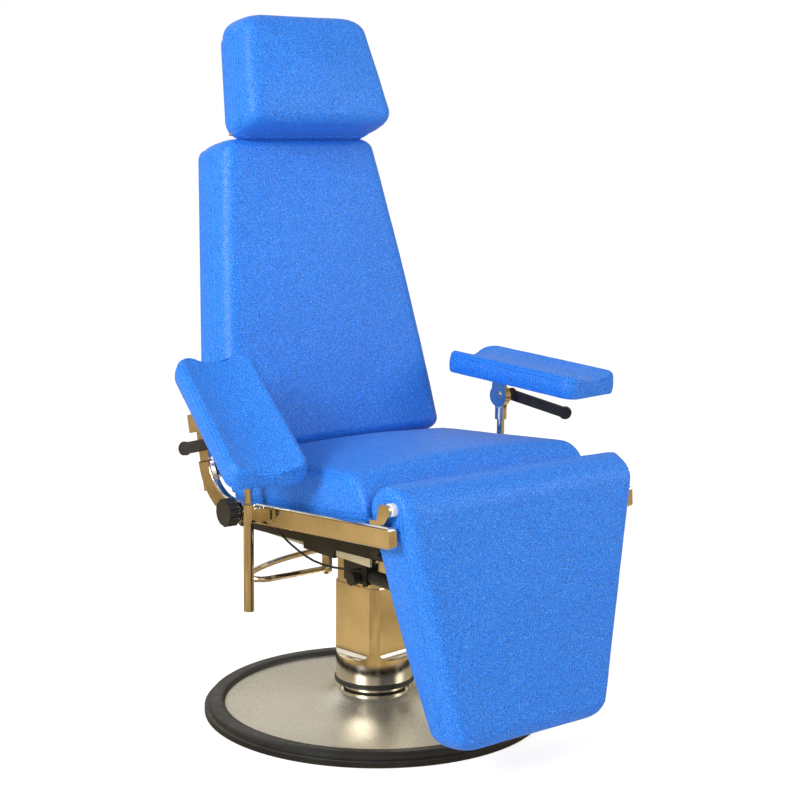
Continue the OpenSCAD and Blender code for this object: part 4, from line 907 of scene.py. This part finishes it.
class CHAIR_OT_seat_pad(bpy.types.Operator):
    """Seat cushion with a rolled front and a seam along each side"""

    bl_idname = "chair.seat_pad"
    bl_label = "Seat cushion"

    def execute(self, context):
        matrix = lean_frame(*SEAT)
        place = flat_place(matrix)
        pad = make_cushion("seat_pad", seat_sections(), place, "seat", "seat_cushion")
        beside = SEAT_HALF + 1
        bend, round_the_nose = 262, 48
        seam_high = 92
        seams = []
        for side in (-1, 1):
            row = [(side * beside, seam_high, s) for s in range(SEAT_REAR + 4, bend, 10)]
            centre = (bend, seam_high - round_the_nose)
            row += [(side * beside, d, s) for s, d in arc(centre, round_the_nose, 90, 0, 14)]
            row += [(side * beside, 34, bend + round_the_nose)]
            seams.append([place(p) for p in row])
        sew("seat_pad", pad, seams, "seat")
        half, rear, front = SEAT_HALF - 12, SEAT_REAR + 9, SEAT_NOSE - 9
        corners = ((-half, rear), (half, rear), (half, front), (-half, front))
        wrap_board("seat_wrap", corners, 26, SEAT_BOARD, 12, 3, place, "seat")
        return {"FINISHED"}


class CHAIR_OT_back_pad(bpy.types.Operator):
    """Tapered back cushion with a seam down each side"""

    bl_idname = "chair.back_pad"
    bl_label = "Back cushion"

    def execute(self, context):
        matrix = lean_frame(*BACK)
        place = upright_place(matrix, BACK_FOOT)
        pad = make_cushion("back_pad", back_sections(), place, "back", "back_cushion")
        beside, bend = 290, 34
        low, high, depth = 40, 596, -4  # centres of the seam's two bends
        seams = []
        for side in (-1, 1):
            row = [(side * beside, d, s) for s, d in arc((low, depth), bend, 180, 90, 8)]
            row += [(side * beside, depth + bend, s) for s in range(low + 8, high - 4, 10)]
            row += [(side * beside, d, s) for s, d in arc((high, depth), bend, 90, 0, 8)]
            seams.append([place(p) for p in row])
        sew("back_pad", pad, seams, "back")
        inset = 12
        foot, top = BACK_HALF - inset, BACK_HALF - BACK_TAPER - inset
        corners = ((-foot, inset), (foot, inset), (top, BACK_LONG - inset), (-top, BACK_LONG - inset))
        wrap_board("back_wrap", corners, 24, BACK_BOARD, 12, 14, place, "back")
        return {"FINISHED"}


class CHAIR_OT_head_pad(bpy.types.Operator):
    """Head cushion with a seam round each side panel"""

    bl_idname = "chair.head_pad"
    bl_label = "Head cushion"

    def execute(self, context):
        matrix = lean_frame(*HEAD)
        place = upright_place(matrix, HEAD_FOOT)
        pad = make_cushion("head_pad", head_sections(), place, "head", "headrest_cushion")
        beside, bend = 200, 42
        low, high, depth = 46, 186, 45  # centres of the seam's two bends
        seams = []
        for side in (-1, 1):
            row = [(side * beside, d, s) for s, d in arc((low, depth), bend, 180, 90, 8)]
            row += [(side * beside, depth + bend, s) for s in range(low + 8, high - 4, 8)]
            row += [(side * beside, d, s) for s, d in arc((high, depth), bend, 90, 0, 8)]
            seams.append([place(p) for p in row])
        sew("head_pad", pad, seams, "head")
        inset = 12
        foot, top = HEAD_HALF - inset, HEAD_HALF - HEAD_TAPER - inset
        corners = ((-foot, inset), (foot, inset), (top, HEAD_LONG - inset), (-top, HEAD_LONG - inset))
        wrap_board("head_wrap", corners, 33, HEAD_BOARD, 10, 14, place, "head")
        return {"FINISHED"}


class CHAIR_OT_leg_pad(bpy.types.Operator):
    """Leg cushion: a roll at the knee that runs into a wedge"""

    bl_idname = "chair.leg_pad"
    bl_label = "Leg cushion"

    def execute(self, context):
        matrix = lean_frame(*LEG)
        place = upright_place(matrix, 0)
        inverse = matrix.inverted()
        pad = make_cushion("leg_pad", leg_sections(), place, "leg", "legrest_cushion")
        # Each side is drawn in round the hinge, where the bush stands against it
        flank, hollow, deep = 250 * MM, 0.028, 0.006
        for vertex in pad.data.vertices:
            q = inverse @ vertex.co
            far = math.hypot(q.y, q.z)
            if abs(q.x) > flank and far < hollow:
                ease = 0.5 + 0.5 * math.cos(math.pi * far / hollow)
                q.x -= math.copysign(deep * ease, q.x)
                vertex.co = matrix @ q
        pad.data.update()
        beside = 290
        seams = []
        for side in (-1, 1):
            row = [(side * beside, 10, s) for s in range(14 - LEG_LONG, -70, 10)]
            row += [(side * beside, 11, -60), (side * beside, 14, -46), (side * beside, 17, -32)]
            row += [(side * beside, d, s) for d, s in arc((-15, -15.5), 34, 0, 150, 16)]
            seams.append([place(p) for p in row])
        sew("leg_pad", pad, seams, "leg")
        return {"FINISHED"}


class CHAIR_OT_arm_pads(bpy.types.Operator):
    """Two trough-shaped arm pads with a seam round the upper edge"""

    bl_idname = "chair.arm_pads"
    bl_label = "Arm pads"

    def execute(self, context):
        for label, (side, up, yaw, pitch, ahead) in ARMS.items():
            place = flat_place(arm_frame(side, up, yaw, pitch), PAD_OUT)
            name = f"arm_rest_{label}"
            pad = make_cushion(name, arm_sections(ahead), place, f"arm_{label}", f"arm_pad_{label}")
            reach = PAD_LONG // 2 - 1
            start, end = ahead - reach, ahead + reach
            # The seam runs forwards on one side, round the front and back again; it is lower at the ends
            x, inset, bend = 46, 26, 27
            side_high, corner_high, end_high = 74, 71, 70
            row = [(70, side_high, s) for s in range(start + inset, end - inset + 1, 8)]
            row += [(u, corner_high, s) for u, s in arc((x, end - inset), bend, 0, 90, 8)]
            row += [(u, end_high, end) for u in range(x - 8, -x + 1, -8)]
            row += [(u, corner_high, s) for u, s in arc((-x, end - inset), bend, 90, 180, 8)]
            row += [(-75, side_high, s) for s in range(end - inset, start + inset - 1, -8)]
            row += [(u, corner_high, s) for u, s in arc((-x, start + inset), bend, 180, 270, 8)]
            row += [(u, end_high, start) for u in range(8 - x, x - 1, 8)]
            row += [(u, corner_high, s) for u, s in arc((x, start + inset), bend, 270, 360, 8)]
            sew(name, pad, [[place(p) for p in row]], f"arm_{label}", closed=True)
        return {"FINISHED"}


class CHAIR_OT_finishes(bpy.types.Operator):
    """Steel, rubber, plastic, nylon and wood on the built parts"""

    bl_idname = "chair.finishes"
    bl_label = "Finishes"

    def execute(self, context):
        for maker, names in FINISHES.items():
            material = maker()
            for name in names:
                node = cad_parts[name]
                if not node.material_slots:
                    raise RuntimeError(f"{name} has no material slot")
                for slot in node.material_slots:
                    slot.material = material
        return {"FINISHED"}


class CHAIR_OT_stage(bpy.types.Operator):
    """Plain floor, soft light and the camera"""

    bl_idname = "chair.stage"
    bl_label = "Studio"

    def execute(self, context):
        studio = context.scene.chair_studio
        bpy.ops.object.select_all(action="DESELECT")
        bpy.ops.mesh.primitive_plane_add(size=40.0, location=(0, 0, 0))
        floor = context.active_object
        floor.name = "floor"
        floor.data.materials.append(pale_ground())
        target = Vector((0, 0, 0.7))
        for label, place, size, power in (
            ("key", (-4.3, -1.0, 2.7), 1.6, studio.key_power),
            ("fill", (2.6, -3.4, 2.2), 2.6, studio.fill_power),
        ):
            lamp = bpy.data.lights.new(label, "AREA")
            lamp.size, lamp.energy = size, power
            light = bpy.data.objects.new(label, lamp)
            context.scene.collection.objects.link(light)
            light.location = place
            light.rotation_mode = "QUATERNION"
            light.rotation_quaternion = (target - Vector(place)).to_track_quat("-Z", "Y")
        light_room(context.scene, studio.sky)
        place_camera(context.scene, studio.lens)
        context.scene.view_settings.view_transform = "Standard"
        return {"FINISHED"}


def pale_ground():
    """Plain floor that is seen as white and keeps the chair's shadow; to glossy rays it glows as warm wood,
    a painted reflection that the steel mirrors.
    """
    material, tree, shader, place = new_finish("pale floor")
    shader.inputs["Roughness"].default_value = 0.8
    tint = ramp(tree, grain(tree, place, 3.0), ((0.3, (0.88, 0.88, 0.88)), (0.7, (0.90, 0.90, 0.90))))
    tree.links.new(tint, shader.inputs["Base Color"])
    ray = tree.nodes.new("ShaderNodeLightPath")
    # Painted reflection: a wood-coloured glow that only glossy rays see
    reflected_boards = grain(tree, place, 1.6, 3.0)
    reflected_planks = ramp(tree, reflected_boards, ((0.35, (0.20, 0.12, 0.04)), (0.6, (0.62, 0.44, 0.20))))
    glow = tree.nodes.new("ShaderNodeEmission")
    glow.inputs["Color"].default_value = (1.0, 1.0, 1.0, 1.0)
    glow.inputs["Strength"].default_value = 1.5
    wood = tree.nodes.new("ShaderNodeEmission")
    tree.links.new(reflected_planks, wood.inputs["Color"])
    lift = tree.nodes.new("ShaderNodeMixShader")
    share = tree.nodes.new("ShaderNodeMath")
    share.operation = "MULTIPLY"
    share.inputs[1].default_value = 0.5
    tree.links.new(ray.outputs["Is Camera Ray"], share.inputs[0])
    tree.links.new(share.outputs[0], lift.inputs[0])
    mirror = tree.nodes.new("ShaderNodeMixShader")
    out = next(n for n in tree.nodes if n.type == "OUTPUT_MATERIAL")
    tree.links.new(shader.outputs["BSDF"], lift.inputs[1])
    tree.links.new(glow.outputs["Emission"], lift.inputs[2])
    # Glossy rays get the painted wood reflection glow
    tree.links.new(ray.outputs["Is Glossy Ray"], mirror.inputs[0])
    tree.links.new(lift.outputs[0], mirror.inputs[1])
    tree.links.new(wood.outputs["Emission"], mirror.inputs[2])
    tree.links.new(mirror.outputs[0], out.inputs["Surface"])
    return material


def light_room(scene, strength):
    """Room that lights the chair evenly, is seen as white and is mirrored as a ceiling over warm walls."""
    world = bpy.data.worlds.new("room")
    scene.world = world
    world.use_nodes = True
    tree = world.node_tree
    tree.nodes.clear()
    out = tree.nodes.new("ShaderNodeOutputWorld")
    ray = tree.nodes.new("ShaderNodeLightPath")
    way = tree.nodes.new("ShaderNodeTexCoord")
    parts = tree.nodes.new("ShaderNodeSeparateXYZ")
    tree.links.new(way.outputs["Generated"], parts.inputs["Vector"])
    low_wall, wall, skirting = (0.36, 0.24, 0.09), (0.62, 0.48, 0.26), (0.10, 0.07, 0.04)
    cornice, ceiling = (0.95, 0.92, 0.85), (1.0, 1.0, 0.98)
    bands = ((0.0, low_wall), (0.10, wall), (0.24, skirting), (0.34, cornice), (0.7, ceiling))
    height = ramp(tree, parts.outputs["Z"], bands)
    cloud = grain(tree, way.outputs["Generated"], 1.7, 1.0)
    patches = ramp(tree, cloud, ((0.42, (0.28, 0.22, 0.14)), (0.52, (1.0, 1.0, 1.0))))
    walls = blend(tree, "MULTIPLY", 0.85, height, patches)
    dim = tree.nodes.new("ShaderNodeBackground")
    dim.inputs["Color"].default_value = (1.0, 0.985, 0.96, 1.0)
    dim.inputs["Strength"].default_value = strength
    white = tree.nodes.new("ShaderNodeBackground")
    white.inputs["Color"].default_value = (1.0, 1.0, 1.0, 1.0)
    mirror = tree.nodes.new("ShaderNodeBackground")
    tree.links.new(walls, mirror.inputs["Color"])
    first = tree.nodes.new("ShaderNodeMixShader")
    tree.links.new(ray.outputs["Is Camera Ray"], first.inputs[0])
    tree.links.new(dim.outputs[0], first.inputs[1])
    tree.links.new(white.outputs[0], first.inputs[2])
    second = tree.nodes.new("ShaderNodeMixShader")
    tree.links.new(ray.outputs["Is Glossy Ray"], second.inputs[0])
    tree.links.new(first.outputs[0], second.inputs[1])
    tree.links.new(mirror.outputs[0], second.inputs[2])
    tree.links.new(second.outputs[0], out.inputs["Surface"])


def place_camera(scene, lens):
    """Camera at the photograph's viewing angle."""
    stand = Vector((-2.0816, -2.6994, 1.1897))
    azimuth, tilt, roll = math.radians(-37.664), math.radians(9.091), math.radians(0.365)
    back = Vector((math.sin(azimuth) * math.cos(tilt), -math.cos(azimuth) * math.cos(tilt), math.sin(tilt)))
    right = Vector((math.cos(azimuth), math.sin(azimuth), 0.0))
    up = back.cross(right)
    right, up = (
        right * math.cos(roll) + up * math.sin(roll),
        up * math.cos(roll) - right * math.sin(roll),
    )
    camera = bpy.data.objects.new("camera", bpy.data.cameras.new("camera"))
    scene.collection.objects.link(camera)
    camera.data.sensor_width = 36.0
    camera.data.lens = lens
    camera.data.shift_x, camera.data.shift_y = 0.0287, -0.001
    camera.data.clip_start, camera.data.clip_end = 0.1, 60.0
    turn = Matrix((right, up, back)).transposed().to_4x4()
    camera.matrix_world = Matrix.Translation(stand) @ turn
    scene.camera = camera


class CHAIR_PT_panel(bpy.types.Panel):
    """Steps that dress the chair"""

    bl_idname = "CHAIR_PT_panel"
    bl_label = "Phlebotomy chair"
    bl_space_type = "VIEW_3D"
    bl_region_type = "UI"
    bl_category = "Chair"

    def draw(self, context):
        layout = self.layout
        for group in (context.scene.chair_cover, context.scene.chair_metal, context.scene.chair_studio):
            for name in group.bl_rna.properties.keys():
                if name not in ("rna_type", "name"):
                    layout.prop(group, name)
        for step in STEPS:
            layout.operator(step.bl_idname)


STEPS = (
    CHAIR_OT_stage,
    CHAIR_OT_finishes,
    CHAIR_OT_seat_pad,
    CHAIR_OT_back_pad,
    CHAIR_OT_head_pad,
    CHAIR_OT_leg_pad,
    CHAIR_OT_arm_pads,
)
GROUPS = (
    (CoverSettings, "chair_cover"),
    (MetalSettings, "chair_metal"),
    (StudioSettings, "chair_studio"),
)


def register():
    """Makes the settings, the steps and the panel known to Blender."""
    for group, name in GROUPS:
        bpy.utils.register_class(group)
        setattr(bpy.types.Scene, name, PointerProperty(type=group))
    for step in (*STEPS, CHAIR_PT_panel):
        bpy.utils.register_class(step)


def unregister():
    """Takes them out again."""
    for step in (CHAIR_PT_panel, *reversed(STEPS)):
        bpy.utils.unregister_class(step)
    for group, name in reversed(GROUPS):
        delattr(bpy.types.Scene, name)
        bpy.utils.unregister_class(group)


def main():
    """Runs every step in order."""
    register()
    for step in STEPS:
        family, name = step.bl_idname.split(".")
        getattr(getattr(bpy.ops, family), name)()


if __name__ == "__main__":
    main()
